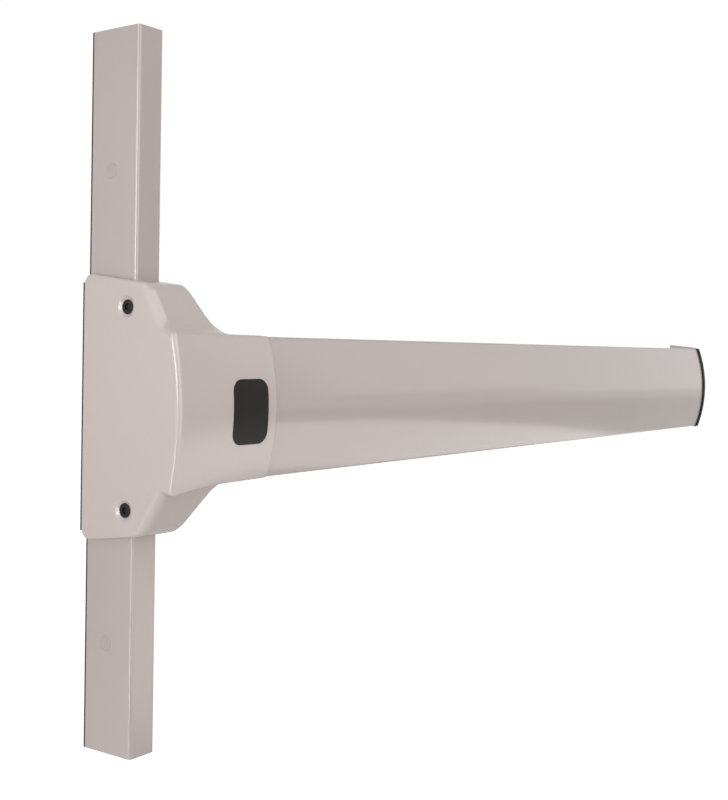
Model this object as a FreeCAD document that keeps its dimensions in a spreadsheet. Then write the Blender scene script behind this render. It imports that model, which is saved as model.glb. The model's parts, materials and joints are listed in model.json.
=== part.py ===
import FreeCAD, Part
import math
import os
import re
import Sketcher

# Surface vertical-rod panic bar for a single door.
# X runs along the door to the hinge side, +Z is up and -Y points out of the door into the room.
# The origin lies on the door face, where the rods' centre line crosses the bar's centre line.
# Outlines are written with depth, the distance from the door face, which is -Y.

# Driving sizes in millimetres and degrees
SIZES = {
    # touch bar and the bar-shaped end of the case
    "bar_height": 90.0,
    "bar_edge_depth": 73.0,
    "bar_bulge": 8.0,
    "bar_step": 0.8,
    "bar_wall": 2.0,
    "bar_back": 45.0,
    "bar_corner": 4.0,
    "bar_end": 838.0,
    "lip_thick": 2.0,
    "lip_reach": 8.0,
    "track_half": 20.0,
    "track_foot": 5.0,
    "track_depth": 64.0,
    "track_trim": 18.0,
    "seam_gap": 0.8,
    # sleeve between bar and case, end cap
    "sleeve_reach": 9.0,
    "sleeve_length": 20.0,
    "sleeve_wall": 2.5,
    "sleeve_gap": 1.0,
    "cap_thick": 5.0,
    "cap_proud": 1.8,
    "cap_lip": 1.0,
    "tongue_length": 14.0,
    "tongue_thick": 3.0,
    "tongue_depth": 20.0,
    "latch_width": 12.0,
    "latch_rise": 4.0,
    "latch_length": 27.0,
    # case cover
    "case_side": 15.0,
    "case_end": 72.0,
    "case_height": 162.0,
    "case_draft": 7.0,
    "case_wall": 1.5,
    "flare_depth": 54.0,
    "flare_slope_end": 70.0,
    "flare_top": 14.0,
    "flare_foot": 28.5,
    "flare_top_round": 6.0,
    "flare_foot_round": 24.0,
    "case_back_round": 6.0,
    "gasket_thick": 1.2,
    "gasket_width": 3.0,
    "opening_margin": 1.0,
    "screw_depth": 37.0,
    "screw_inset": 21.0,
    "boss_diameter": 17.0,
    "boss_length": 2.0,
    "dimple_cone": 0.9,
    "dimple_bore": 9.4,
    "dimple_floor": 2.6,
    # badge
    "badge_width": 34.0,
    "badge_height": 40.0,
    "badge_round": 8.0,
    "badge_thick": 0.8,
    "badge_x": 47.5,
    "badge_drop": 2.0,
    # base plate
    "plate_thick": 2.5,
    "plate_margin": 14.0,
    "plate_top": 12.0,
    "plate_shoulder": 19.0,
    "plate_body_margin": 5.0,
    "plate_end_gap": 10.0,
    "plate_neck_lap": 50.0,
    "neck_margin": 3.5,
    "tab_thick": 2.0,
    "tab_half": 7.0,
    "bolt_hole": 5.5,
    "bolt_x": 21.0,
    "bolt_pitch_x": 58.0,
    "bolt_pitch_z": 44.0,
    # rail
    "rail_gap": 4.7,
    "rail_wall": 2.0,
    "rail_lap": 12.0,
    "rail_inset": 38.0,
    "flange_gap": 1.2,
    "flange_start_gap": 7.0,
    "rail_screw_z": 15.0,
    "rail_screw_start": 25.0,
    "rail_screw_inset": 15.0,
    # end bracket
    "bracket_inset": 4.0,
    "bracket_length": 69.0,
    "bracket_thick": 2.5,
    "bracket_rise": 27.0,
    "bracket_bolt_inset": 16.0,
    "bracket_bolt_pitch": 36.0,
    # linkage
    "push_travel": 16.0,
    "half_swing": 20.0,
    "left_crank_x": 240.0,
    "right_crank_inset": 178.0,
    "crank_depth": 38.0,
    "crank_hub": 16.0,
    "crank_bore": 8.0,
    "pivot_proud": 1.0,
    "arm_width": 10.0,
    "arm_end": 11.5,
    "push_arm_half": 4.0,
    "link_arm_low": 9.0,
    "link_arm_high": 15.0,
    "push_pin": 6.0,
    "link_pin": 5.0,
    "push_pin_proud": 3.0,
    "link_pin_head": 1.5,
    "ear_gap": 8.0,
    "ear_thick": 2.5,
    "ear_half": 12.0,
    "ear_below_pin": 8.0,
    "push_plate_half": 22.0,
    "push_plate_thick": 2.5,
    "set_screw": 5.0,
    "set_screw_offset": 16.5,
    "set_screw_proud": 1.0,
    "link_start": 30.0,
    "link_low": 15.5,
    "link_thick": 3.0,
    "link_width": 12.0,
    "drive_start": 8.0,
    "drive_end": 60.0,
    "drive_half": 16.0,
    "drive_thick": 3.0,
    "drive_depth": 8.5,
    "drive_rivet_depth": 17.0,
    "rivet": 4.0,
    "rivet_head": 7.0,
    "rivet_head_thick": 1.2,
    "drive_rivet_inset": 8.0,
    "drive_rivet_pitch": 14.0,
    "lug_rivet_inset": 11.0,
    "lug_rivet_pitch": 9.0,
    # return spring
    "spring_x": 330.0,
    "spring_length": 50.0,
    "spring_z": 16.0,
    "spring_depth": 16.0,
    "spring_radius": 5.0,
    "spring_wire": 1.4,
    "spring_pitch": 5.0,
    "spring_rod": 5.0,
    "spring_rod_tail": 25.0,
    "anchor_thick": 2.5,
    "anchor_half": 9.0,
    "anchor_foot": 22.0,
    "anchor_rise": 11.0,
    "lug_foot": 26.0,
    # levers
    "lever_x": 22.5,
    "lever_z": 32.0,
    "lever_low": 18.0,
    "lever_thick": 4.0,
    "lever_hub": 18.0,
    "lever_bore": 8.0,
    "stud_shoulder": 12.0,
    "stud_tail": 6.0,
    "pin_proud": 1.0,
    "clip_outer": 14.0,
    "clip_thick": 1.2,
    # rods
    "rod_diameter": 10.0,
    "rod_depth": 24.5,
    "rod_gap": 10.0,
    "rod_thread": 5.0,
    "rod_thread_length": 15.0,
    "shoe_half": 9.0,
    "shoe_thick": 3.8,
    "shoe_below_pin": 7.0,
    "boss_offset": 10.0,
    "shoe_boss_length": 10.0,
    "shoe_boss": 14.0,
    "nut_flats": 16.0,
    "nut_thick": 5.0,
    # rod covers
    "cover_width": 20.0,
    "cover_depth": 40.0,
    "cover_wall": 1.2,
    "cover_edge": 1.0,
    "cover_lap": 13.0,
    "upper_cover_end": 227.0,
    "lower_cover_end": 208.0,
    "clip_z": 142.0,
    "clip_half": 12.0,
    "clip_wall": 1.5,
    "clip_rise": 28.0,
    "plug_diameter": 6.5,
    "plug_depth": 18.0,
    "guide_half": 8.0,
    "guide_front": 33.0,
    "screw_pocket": 12.0,
    "screw_pocket_depth": 7.0,
    # screws
    "screw_shank": 5.0,
    "screw_head": 8.6,
    "screw_head_thick": 1.6,
    "screw_length": 6.8,
    "screw_socket": 4.0,
    "screw_socket_depth": 1.0,
    "pan_head": 9.0,
    "pan_head_thick": 3.0,
    "screw_tip": 0.3,
    # clearances, how far a cut runs past the face that it opens, and how far fused forms overlap
    "seat": 0.02,
    "running": 0.05,
    "slip": 0.3,
    "overcut": 1.0,
    "merge": 1.0,
}

doc = FreeCAD.newDocument("panic_bar")
sheet = doc.addObject("Spreadsheet::Sheet", "dims")
for row, (alias, size) in enumerate(SIZES.items(), start=1):
    sheet.set(f"A{row}", alias)
    sheet.set(f"B{row}", str(size))
    sheet.setAlias(f"B{row}", alias)
doc.recompute()

# Sizes that follow from the driving ones
BAR_HALF = "(bar_height / 2 - bar_step)"
BAR_EDGE = "(bar_edge_depth - bar_step)"
BAR_START = "(case_end + seam_gap)"
BAR_INNER_HALF = f"({BAR_HALF} - bar_wall)"
BAR_INNER_EDGE = f"({BAR_EDGE} - bar_wall)"
MOUTH_HALF = f"({BAR_INNER_HALF} - lip_reach + bar_wall)"
SLEEVE_END = "(case_end - sleeve_reach + sleeve_length)"
RAIL_HALF = f"({MOUTH_HALF} - rail_gap)"
RAIL_FLANGE = f"({BAR_INNER_HALF} - flange_gap)"
RAIL_FRONT = "(bar_back + lip_thick + slip + rail_wall)"
RAIL_START = "(case_end - rail_lap)"
RAIL_END = "(bar_end - rail_inset)"
RAIL_SCREWS = (f"({RAIL_START} + rail_screw_start)", f"({RAIL_END} - rail_screw_inset)")
NECK_HALF = f"({RAIL_HALF} - neck_margin)"
BRACKET_END = "(bar_end - bracket_inset)"
BRACKET_START = f"({BRACKET_END} - bracket_length)"
CRANK_PLACES = ("left_crank_x", "(bar_end - right_crank_inset)")
ARM = "(push_travel / 2 / sin(half_swing))"
ARM_MEAN = f"({ARM} * (1 + cos(half_swing)) / 2)"
LINK_DEPTH = f"(crank_depth - {ARM_MEAN})"
LINK_TOP = "(link_low + link_thick)"
SLOT_LONG = f"({ARM} * (1 - cos(half_swing)) + 2 * slip)"
FLARE_LEAN = "((flare_foot - flare_top) / ((case_height - bar_height) / 2))"
TAB_SIDE = "(case_side - case_wall - boss_length - seat)"
COVER_INNER = "(cover_width / 2 - cover_wall)"
COVER_TUCK = "(case_height / 2 - cover_lap)"
SCREW_HEIGHT = "(case_height / 2 - screw_inset)"
PLATE_HALF = "(case_height / 2 - plate_margin)"
ROD_PIN_Z = "(lever_z + push_travel / 2)"
BOSS_START = f"({ROD_PIN_Z} + boss_offset)"
BOSS_END = f"({BOSS_START} + shoe_boss_length)"
BOLT_PLACES = ("bolt_x - bolt_pitch_x / 2", "bolt_x + bolt_pitch_x / 2")

PLANES = {"door": "XZ_Plane", "side": "YZ_Plane", "level": "XY_Plane"}
SIGNS = {"door": (1, 1), "side": (-1, 1), "level": (1, -1)}
parts = []


def linked(text):
    """The expression with each size's name pointing at its cell."""
    return re.sub(r"[a-z_][a-z0-9_]*", lambda m: f"dims.{m[0]}" if m[0] in SIZES else m[0], str(text))


def value(text):
    return float(sheet.evalExpression(linked(text)))


def bind(thing, **properties):
    for name, text in properties.items():
        thing.setExpression(name.replace("_", "."), linked(text))


def place(thing, x="0", depth="0", z="0", axis=None, angle="0"):
    """Puts a piece at a point, turned about an axis of the frame."""
    turn = FreeCAD.Rotation(FreeCAD.Vector(*axis), value(angle)) if axis else FreeCAD.Rotation()
    thing.Placement = FreeCAD.Placement(FreeCAD.Vector(value(x), -value(depth), value(z)), turn)
    thing.setExpression("Placement.Base.x", linked(x))
    thing.setExpression("Placement.Base.y", linked(f"-({depth})"))
    thing.setExpression("Placement.Base.z", linked(z))
    if axis:
        thing.setExpression("Placement.Rotation.Angle", linked(angle))


def new_body(name):
    return doc.addObject("PartDesign::Body", name)


def new_sketch(body, plane, start):
    sketch = body.newObject("Sketcher::SketchObject", f"{body.Name}_sketch")
    origin = next(f for f in body.Origin.OriginFeatures if f.Role == PLANES[plane])
    sketch.AttachmentSupport = [(origin, "")]
    sketch.MapMode = "FlatFace"
    sketch.setExpression("AttachmentOffset.Base.z", linked(start))
    return sketch


def fix(sketch, kind, geometry, position, text, along=None):
    """One named constraint, tied to its size."""
    size = value(text)
    if kind == "Radius":
        number = sketch.addConstraint(Sketcher.Constraint("Radius", geometry, size))
    elif abs(size) < 1e-9:
        axis_line = -2 if kind == "DistanceX" else -1
        sketch.addConstraint(Sketcher.Constraint("PointOnObject", geometry, position, axis_line))
        return
    else:
        number = sketch.addConstraint(Sketcher.Constraint(kind, -1, 1, geometry, position, size))
    name = f"size{number}"
    sketch.renameConstraint(number, name)
    sketch.setExpression(f"Constraints.{name}", linked(text))


def fix_point(sketch, plane, geometry, position, across, up):
    sign_a, sign_b = SIGNS[plane]
    fix(sketch, "DistanceX", geometry, position, across if sign_a > 0 else f"-({across})")
    fix(sketch, "DistanceY", geometry, position, up if sign_b > 0 else f"-({up})")


def draw_circle(sketch, plane, across, up, radius):
    sign_a, sign_b = SIGNS[plane]
    centre = FreeCAD.Vector(sign_a * value(across), sign_b * value(up), 0)
    circle = sketch.addGeometry(Part.Circle(centre, FreeCAD.Vector(0, 0, 1), value(radius)))
    fix_point(sketch, plane, circle, 3, across, up)
    fix(sketch, "Radius", circle, 0, radius)


def ends_in_order(sketch, geometry, first):
    """The start and end positions of a piece of an outline that begins at a point."""
    return (1, 2) if (sketch.getPoint(geometry, 1) - first).Length < 1e-6 else (2, 1)


def draw_outline(sketch, plane, corners):
    """A closed outline. A corner is (across, up), or (across, up, round) for a rounded one.
    A lone text between two corners makes the side between them an arc of that radius, bulging outwards."""
    sign_a, sign_b = SIGNS[plane]
    points, bulges = [], {}
    for item in corners:
        if isinstance(item, str):
            bulges[len(points) - 1] = item
        else:
            points.append(item)
    places = [FreeCAD.Vector(sign_a * value(p[0]), sign_b * value(p[1]), 0) for p in points]
    middle = sum(places, FreeCAD.Vector()) * (1 / len(places))
    count = len(points)
    leave, reach, rounds = list(places), list(places), {}
    for i, point in enumerate(points):
        if len(point) == 3:
            back = (places[i - 1] - places[i]).normalize()
            ahead = (places[(i + 1) % count] - places[i]).normalize()
            half = back.getAngle(ahead) / 2
            radius = value(point[2])
            inward = (back + ahead).normalize()
            reach[i] = places[i] + back * (radius / math.tan(half))
            leave[i] = places[i] + ahead * (radius / math.tan(half))
            rounds[i] = places[i] + inward * (radius / math.sin(half) - radius)
    chain, sides = [], []
    for i in range(count):
        if i in rounds:
            arc = sketch.addGeometry(Part.Arc(reach[i], rounds[i], leave[i]))
            fix(sketch, "Radius", arc, 0, points[i][2])
            chain.append((arc, *ends_in_order(sketch, arc, reach[i]), True))
        start, end = leave[i], reach[(i + 1) % count]
        if i in bulges:
            radius = value(bulges[i])
            centre_line = (start + end) * 0.5
            outward = (centre_line - middle).normalize()
            rise = radius - math.sqrt(radius**2 - ((end - start).Length / 2) ** 2)
            side = sketch.addGeometry(Part.Arc(start, centre_line + outward * rise, end))
            fix(sketch, "Radius", side, 0, bulges[i])
        else:
            side = sketch.addGeometry(Part.LineSegment(start, end))
        sides.append((side, *ends_in_order(sketch, side, start)))
        chain.append((*sides[-1], False))
    for one, two in zip(chain, chain[1:] + chain[:1]):
        kind = "Tangent" if one[3] or two[3] else "Coincident"
        sketch.addConstraint(Sketcher.Constraint(kind, one[0], one[2], two[0], two[1]))
    for i, point in enumerate(points):
        if i in rounds:
            corner = sketch.addGeometry(Part.Point(places[i]), True)
            for line in (sides[i - 1][0], sides[i][0]):
                sketch.addConstraint(Sketcher.Constraint("PointOnObject", corner, 1, line))
            fix_point(sketch, plane, corner, 1, point[0], point[1])
        else:
            fix_point(sketch, plane, sides[i][0], sides[i][1], point[0], point[1])


def draw(sketch, plane, shapes):
    """Each shape is an outline's list of corners, or one (across, up, radius) circle."""
    for shape in shapes:
        if isinstance(shape, tuple):
            draw_circle(sketch, plane, *shape)
        else:
            draw_outline(sketch, plane, shape)


def add(body, plane, shapes, start, end):
    """Adds material from start to end along the plane's normal: depth, X or Z."""
    sketch = new_sketch(body, plane, start)
    draw(sketch, plane, shapes)
    pad = body.newObject("PartDesign::Pad", f"{body.Name}_pad")
    pad.Profile = sketch
    bind(pad, Length=f"({end}) - ({start})")
    return pad


def cut(body, plane, shapes, start, end):
    """Takes material away from start to end along the plane's normal."""
    sketch = new_sketch(body, plane, start)
    draw(sketch, plane, shapes)
    pocket = body.newObject("PartDesign::Pocket", f"{body.Name}_pocket")
    pocket.Profile = sketch
    pocket.Reversed = True
    bind(pocket, Length=f"({end}) - ({start})")
    return pocket


def cut_through(body, plane, shapes, start, end):
    """A cut right through from one face to another, which runs past both."""
    return cut(body, plane, shapes, f"({start}) - overcut", f"({end}) + overcut")


def dress(body, kind, size_name, size, wanted):
    """A fillet or chamfer on the edges of the body so far that wanted() picks."""
    doc.recompute()
    base = body.Tip
    names = [f"Edge{i}" for i, edge in enumerate(base.Shape.Edges, start=1) if wanted(edge)]
    if not names:
        raise RuntimeError(f"{body.Name}: no edge to dress")
    feature = body.newObject(f"PartDesign::{kind}", f"{body.Name}_{kind.lower()}")
    feature.Base = (base, names)
    feature.setExpression(size_name, linked(size))
    return feature


def box_corners(left, right, low, high):
    return [(left, low), (right, low), (right, high), (left, high)]


def cylinder(name, direction, across, up, radius, start, end):
    """A round piece along depth, x or z, centred on (X, Z), (depth, Z) or (X, depth)."""
    rod = doc.addObject("Part::Cylinder", name)
    bind(rod, Radius=radius, Height=f"({end}) - ({start})")
    if direction == "depth":
        place(rod, across, start, up, (1, 0, 0), "90")
    elif direction == "x":
        place(rod, start, across, up, (0, 1, 0), "90")
    else:
        place(rod, across, up, start)
    return rod


def combine(kind, name, pieces):
    whole = doc.addObject(f"Part::{kind}", name)
    if kind == "Compound":
        whole.Links = pieces
    elif kind == "Cut":
        whole.Base, whole.Tool = pieces
    else:
        whole.Shapes = pieces
    return whole


def keep(thing, name):
    """Names a finished piece, which goes into a file of that name."""
    thing.Label = name
    parts.append(thing)
    return thing


def mirrored(side, low, high):
    """A span above the bar's centre line, or the same span below it."""
    return (low, high) if side > 0 else (f"-({high})", f"-({low})")


def signed(side, text):
    return text if side > 0 else f"-({text})"


def front_radius(half):
    """The radius of the bar's bulging front over a given half height."""
    return f"((({half}) ^ 2 + bar_bulge ^ 2) / (2 * bar_bulge))"


def bar_section(back, half, edge):
    """The bar's D-shaped section: flat back, straight sides and bulging front."""
    return [
        (back, f"-({half})"),
        (edge, f"-({half})"),
        front_radius(half),
        (edge, half),
        (back, half),
    ]


def lies_along(edge, axis):
    """True for a straight edge that runs along x, y or z."""
    if not isinstance(edge.Curve, (Part.Line, Part.LineSegment)):
        return False
    direction = edge.tangentAt(edge.FirstParameter)
    return abs(getattr(direction, axis)) > 0.999


def at(number, text):
    return abs(number - value(text)) < 0.01


# Touch bar: a hollow extrusion with in-turned lips and a mounting track
def touch_bar():
    body = new_body("touch_bar")
    add(body, "side", [bar_section("bar_back", BAR_HALF, BAR_EDGE)], BAR_START, "bar_end")
    dress(
        body, "Fillet", "Radius", "bar_corner",
        lambda e: lies_along(e, "x") and at(-e.CenterOfMass.y, BAR_EDGE),
    )
    hollow = bar_section("bar_back + lip_thick", BAR_INNER_HALF, BAR_INNER_EDGE)
    cut_through(body, "side", [hollow], BAR_START, "bar_end")
    low, high = "bar_back - overcut", "bar_back + lip_thick + overcut"
    opening = box_corners(low, high, f"-{MOUTH_HALF}", MOUTH_HALF)
    cut_through(body, "side", [opening], BAR_START, "bar_end")
    foot = "(track_half - track_foot)"
    outer = "(track_half + lip_thick)"
    root = f"({BAR_EDGE} + bar_bulge - bar_wall - merge)"
    for side in (1, -1):
        track = [
            ("track_depth", signed(side, foot)),
            ("track_depth + lip_thick", signed(side, foot)),
            ("track_depth + lip_thick", signed(side, "track_half")),
            (root, signed(side, "track_half")),
            (root, signed(side, outer)),
            ("track_depth", signed(side, outer)),
        ]
        add(body, "side", [track], f"{BAR_START} + track_trim", "bar_end - track_trim")
    return keep(body, "touch_bar")


# Black sleeve that joins the touch bar's end to the inside of the case
def bar_end_sleeve():
    body = new_body("bar_end_sleeve")
    half = f"({BAR_INNER_HALF} - slip)"
    edge = f"({BAR_INNER_EDGE} - slip)"
    back = f"({RAIL_FRONT} + sleeve_gap)"
    start = "(case_end - sleeve_reach)"
    add(body, "side", [bar_section(back, half, edge)], start, SLEEVE_END)
    inner = bar_section(f"{back} - overcut", f"{half} - sleeve_wall", f"{edge} - sleeve_wall")
    cut_through(body, "side", [inner], start, SLEEVE_END)
    return keep(body, "bar_end_sleeve")


# End cap: a proud plate with two tongues that snap into the touch bar
def end_cap():
    body = new_body("end_cap")
    plate = bar_section("bar_back - cap_lip", f"{BAR_HALF} + cap_proud", f"{BAR_EDGE} + cap_proud")
    add(body, "side", [plate], "bar_end", "bar_end + cap_thick")
    dress(
        body, "Fillet", "Radius", "bar_corner + cap_proud",
        lambda e: lies_along(e, "x") and at(-e.CenterOfMass.y, f"{BAR_EDGE} + cap_proud"),
    )
    back = "(bar_back + lip_thick + slip)"
    high = f"({BAR_INNER_HALF} - slip)"
    for side in (1, -1):
        span = mirrored(side, f"{high} - tongue_thick", high)
        tongue = box_corners(back, f"{back} + tongue_depth", *span)
        add(body, "side", [tongue], "bar_end - tongue_length", "bar_end + cap_thick / 2")
    return keep(body, "end_cap")


# Painted release tab on the bar's upper edge beside the end cap
def end_cap_latch():
    body = new_body("end_cap_latch")
    foot = f"({BAR_HALF} + seat)"
    back = "(bar_back + slip)"
    wedge = [
        (back, foot),
        (f"{back} + latch_length", foot),
        (back, f"{foot} + latch_rise"),
    ]
    add(body, "side", [wedge], "bar_end - latch_width", "bar_end - slip")
    return keep(body, "end_cap_latch")


# Brackets in the bar's track, whose slotted ears push the cranks
def push_bracket(name, crank_x):
    body = new_body(name)
    middle = f"(-{ARM_MEAN})"
    plate_low = "(track_depth + lip_thick + slip)"
    plate_high = f"({plate_low} + push_plate_thick)"
    width = "(track_half - slip)"
    plate = box_corners(
        f"{middle} - push_plate_half", f"{middle} + push_plate_half", f"-{width}", width
    )
    add(body, "door", [plate], plate_low, plate_high)
    pin_depth = "(crank_depth + push_travel / 2)"
    ear = box_corners(
        f"{middle} - ear_half", f"{middle} + ear_half",
        f"{pin_depth} - ear_below_pin", f"{plate_low} + push_plate_thick / 2",
    )
    slot = box_corners(
        f"{middle} - push_pin / 2 - {SLOT_LONG} / 2", f"{middle} + push_pin / 2 + {SLOT_LONG} / 2",
        f"{pin_depth} - push_pin / 2 - slip", f"{pin_depth} + push_pin / 2 + slip",
    )
    for side in (1, -1):
        span = mirrored(side, "ear_gap", "ear_gap + ear_thick")
        add(body, "level", [ear], *span)
        cut_through(body, "level", [slot], *span)
    hole = (f"{middle} - set_screw_offset", "0", "set_screw / 2 + seat")
    cut_through(body, "door", [hole], plate_low, plate_high)
    place(body, x=crank_x)
    return keep(body, name)


def bracket_screws():
    low = "(track_depth - set_screw_proud)"
    high = f"({BAR_EDGE} + bar_bulge - bar_wall - running)"
    screws = [
        cylinder(
            f"set_screw{number}", "depth", f"{crank_x} - {ARM_MEAN} - set_screw_offset", "0",
            "set_screw / 2", low, high,
        )
        for number, crank_x in enumerate(CRANK_PLACES)
    ]
    return keep(combine("Compound", "bracket_screws", screws), "bracket_screws")


# Bell cranks: the bar pushes one arm, the other draws the link along the rail
def crank(name, crank_x):
    body = new_body(name)
    hub = f"({RAIL_HALF} - rail_wall - slip)"
    add(body, "level", [("0", "0", "crank_hub / 2")], f"-{hub}", hub)
    push_arm = box_corners(f"-{ARM}", "0", "-arm_width / 2", "arm_width / 2")
    add(body, "level", [push_arm], "-push_arm_half", "push_arm_half")
    add(body, "level", [(f"-{ARM}", "0", "arm_end / 2")], "-push_arm_half", "push_arm_half")
    link_arm = box_corners("-arm_width / 2", "arm_width / 2", f"-{ARM}", "0")
    add(body, "level", [link_arm], "link_arm_low", "link_arm_high")
    add(body, "level", [("0", f"-{ARM}", "arm_end / 2")], "link_arm_low", "link_arm_high")
    cut_through(body, "level", [("0", "0", "crank_bore / 2 + running")], f"-{hub}", hub)
    cut_through(body, "level", [(f"-{ARM}", "0", "push_pin / 2 + seat")], "-push_arm_half", "push_arm_half")
    cut_through(body, "level", [("0", f"-{ARM}", "link_pin / 2 + seat")], "link_arm_low", "link_arm_high")
    place(body, crank_x, "crank_depth", "0", (0, 0, 1), "half_swing")
    return keep(body, name)


def crank_pins(name, crank_x):
    reach = "(ear_gap + ear_thick + push_pin_proud)"
    push_pin = cylinder(f"{name}_push", "z", f"-{ARM}", "0", "push_pin / 2", f"-{reach}", reach)
    head_start = f"({LINK_TOP} + slip)"
    head_end = f"({head_start} + link_pin_head)"
    shank = cylinder(f"{name}_link", "z", "0", f"-{ARM}", "link_pin / 2", "link_arm_low - slip", head_end)
    head = cylinder(
        f"{name}_head", "z", "0", f"-{ARM}", "link_pin / 2 + link_pin_head", head_start, head_end
    )
    link_pin = combine("MultiFuse", f"{name}_link_pin", [shank, head])
    pins = combine("Compound", name, [push_pin, link_pin])
    place(pins, crank_x, "crank_depth", "0", (0, 0, 1), "half_swing")
    return keep(pins, name)


def crank_pivot_pins():
    reach = f"({RAIL_HALF} + pivot_proud)"
    pins = [
        cylinder(f"pivot{number}", "z", x, "crank_depth", "crank_bore / 2", f"-{reach}", reach)
        for number, x in enumerate(CRANK_PLACES)
    ]
    return keep(combine("Compound", "crank_pivot_pins", pins), "crank_pivot_pins")


# Rivets through the link bar, as (X, depth): two in the drive plate, two in the spring's lug
RIVET_PLACES = [
    ("link_start + drive_rivet_inset", "drive_rivet_depth"),
    ("link_start + drive_rivet_inset + drive_rivet_pitch", "drive_rivet_depth"),
    ("spring_x - lug_rivet_inset - lug_rivet_pitch", LINK_DEPTH),
    ("spring_x - lug_rivet_inset", LINK_DEPTH),
]


# Link bar with upright slots for the cranks' pins
def link_bar():
    body = new_body("link_bar")
    low = f"({LINK_DEPTH} - link_width / 2)"
    high = f"({LINK_DEPTH} + link_width / 2)"
    bar = box_corners("link_start", f"{CRANK_PLACES[1]} + link_width / 2", low, high)
    add(body, "level", [bar], "link_low", LINK_TOP)
    for crank_x in CRANK_PLACES:
        x = f"({crank_x} - push_travel / 2)"
        slot = box_corners(
            f"{x} - link_pin / 2 - slip", f"{x} + link_pin / 2 + slip",
            f"{LINK_DEPTH} - link_pin / 2 - {SLOT_LONG} / 2",
            f"{LINK_DEPTH} + link_pin / 2 + {SLOT_LONG} / 2",
        )
        cut_through(body, "level", [slot], "link_low", LINK_TOP)
    for x, depth in RIVET_PLACES:
        cut_through(body, "level", [(x, depth, "rivet / 2 + seat")], "link_low", LINK_TOP)
    return keep(body, "link_bar")


# Plate in the case that turns the link's pull onto both levers
def drive_plate():
    body = new_body("drive_plate")
    high = "(drive_depth + drive_thick)"
    flange = "(link_low - seat)"
    plate = box_corners("drive_start", "drive_end", "-drive_half", flange)
    add(body, "door", [plate], "drive_depth", high)
    top = f"({LINK_DEPTH} + link_width / 2)"
    wall = box_corners("link_start", "drive_end", "drive_depth", top)
    add(body, "level", [wall], f"{flange} - drive_thick", flange)
    x = "(lever_x - push_travel / 2)"
    z = f"(lever_z - {ARM_MEAN})"
    for side in (1, -1):
        span = mirrored(
            side, f"{z} - push_pin / 2 - {SLOT_LONG} / 2", f"{z} + push_pin / 2 + {SLOT_LONG} / 2"
        )
        slot = box_corners(f"{x} - push_pin / 2 - slip", f"{x} + push_pin / 2 + slip", *span)
        cut_through(body, "door", [slot], "drive_depth", high)
    for x, depth in RIVET_PLACES[:2]:
        cut_through(body, "level", [(x, depth, "rivet / 2 + seat")], f"{flange} - drive_thick", flange)
    return keep(body, "drive_plate")


# Lug on the link that carries the spring rod
def link_lug():
    body = new_body("link_lug")
    low = f"({LINK_DEPTH} - link_width / 2)"
    high = f"({LINK_DEPTH} + link_width / 2)"
    face = "(link_low - seat)"
    right = "(spring_x - seat)"
    foot = box_corners(f"{right} - lug_foot", right, low, high)
    add(body, "level", [foot], f"{face} - anchor_thick", face)
    cross = box_corners(low, high, "-spring_z - anchor_half", face)
    add(body, "side", [cross], f"{right} - anchor_thick", right)
    hole = ("spring_depth", "-spring_z", "spring_rod / 2 + seat")
    cut_through(body, "side", [hole], f"{right} - anchor_thick", right)
    for x, depth in RIVET_PLACES[2:]:
        cut_through(body, "level", [(x, depth, "rivet / 2 + seat")], f"{face} - anchor_thick", face)
    return keep(body, "link_lug")


def link_rivets():
    rivets = []
    for number, (x, depth) in enumerate(RIVET_PLACES):
        inner = "(link_low - seat - drive_thick)" if number < 2 else "(link_low - seat - anchor_thick)"
        low_head = cylinder(
            f"rivet{number}_low", "z", x, depth, "rivet_head / 2", f"{inner} - rivet_head_thick", inner
        )
        shank = cylinder(f"rivet{number}_shank", "z", x, depth, "rivet / 2", inner, LINK_TOP)
        top_head = cylinder(
            f"rivet{number}_top", "z", x, depth, "rivet_head / 2", LINK_TOP,
            f"{LINK_TOP} + rivet_head_thick",
        )
        rivets.append(combine("MultiFuse", f"rivet{number}", [low_head, shank, top_head]))
    return keep(combine("Compound", "link_rivets", rivets), "link_rivets")


# Return spring on its rod, between the moving lug and the fixed anchor
def spring_rod():
    start = "(spring_x - seat - anchor_thick)"
    end = "(spring_x + spring_length + spring_rod_tail)"
    rod = cylinder("spring_rod", "x", "spring_depth", "-spring_z", "spring_rod / 2", start, end)
    return keep(rod, "spring_rod")


def spring_anchor():
    body = new_body("spring_anchor")
    left = "(spring_x + spring_length)"
    seat_depth = "(plate_thick + rail_wall)"
    width = ("-spring_z - anchor_half", "-spring_z + anchor_half")
    foot = box_corners(left, f"{left} + anchor_foot", *width)
    add(body, "door", [foot], seat_depth, f"{seat_depth} + anchor_thick")
    wall = box_corners(seat_depth, "spring_depth + anchor_rise", *width)
    add(body, "side", [wall], left, f"{left} + anchor_thick")
    hole = ("spring_depth", "-spring_z", "spring_rod / 2 + running")
    cut_through(body, "side", [hole], left, f"{left} + anchor_thick")
    return keep(body, "spring_anchor")


def return_spring():
    body = new_body("return_spring")
    sketch = new_sketch(body, "door", "0")
    draw_circle(sketch, "door", "spring_radius", "spring_wire / 2 + seat", "spring_wire / 2")
    coil = body.newObject("PartDesign::AdditiveHelix", "return_spring_coil")
    coil.Profile = sketch
    coil.ReferenceAxis = (sketch, ["V_Axis"])
    coil.Mode = 0
    bind(coil, Pitch="spring_pitch", Height="spring_length - spring_wire - 2 * seat")
    place(body, "spring_x", "spring_depth", "-spring_z", (0, 1, 0), "90")
    return keep(body, "return_spring")


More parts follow.
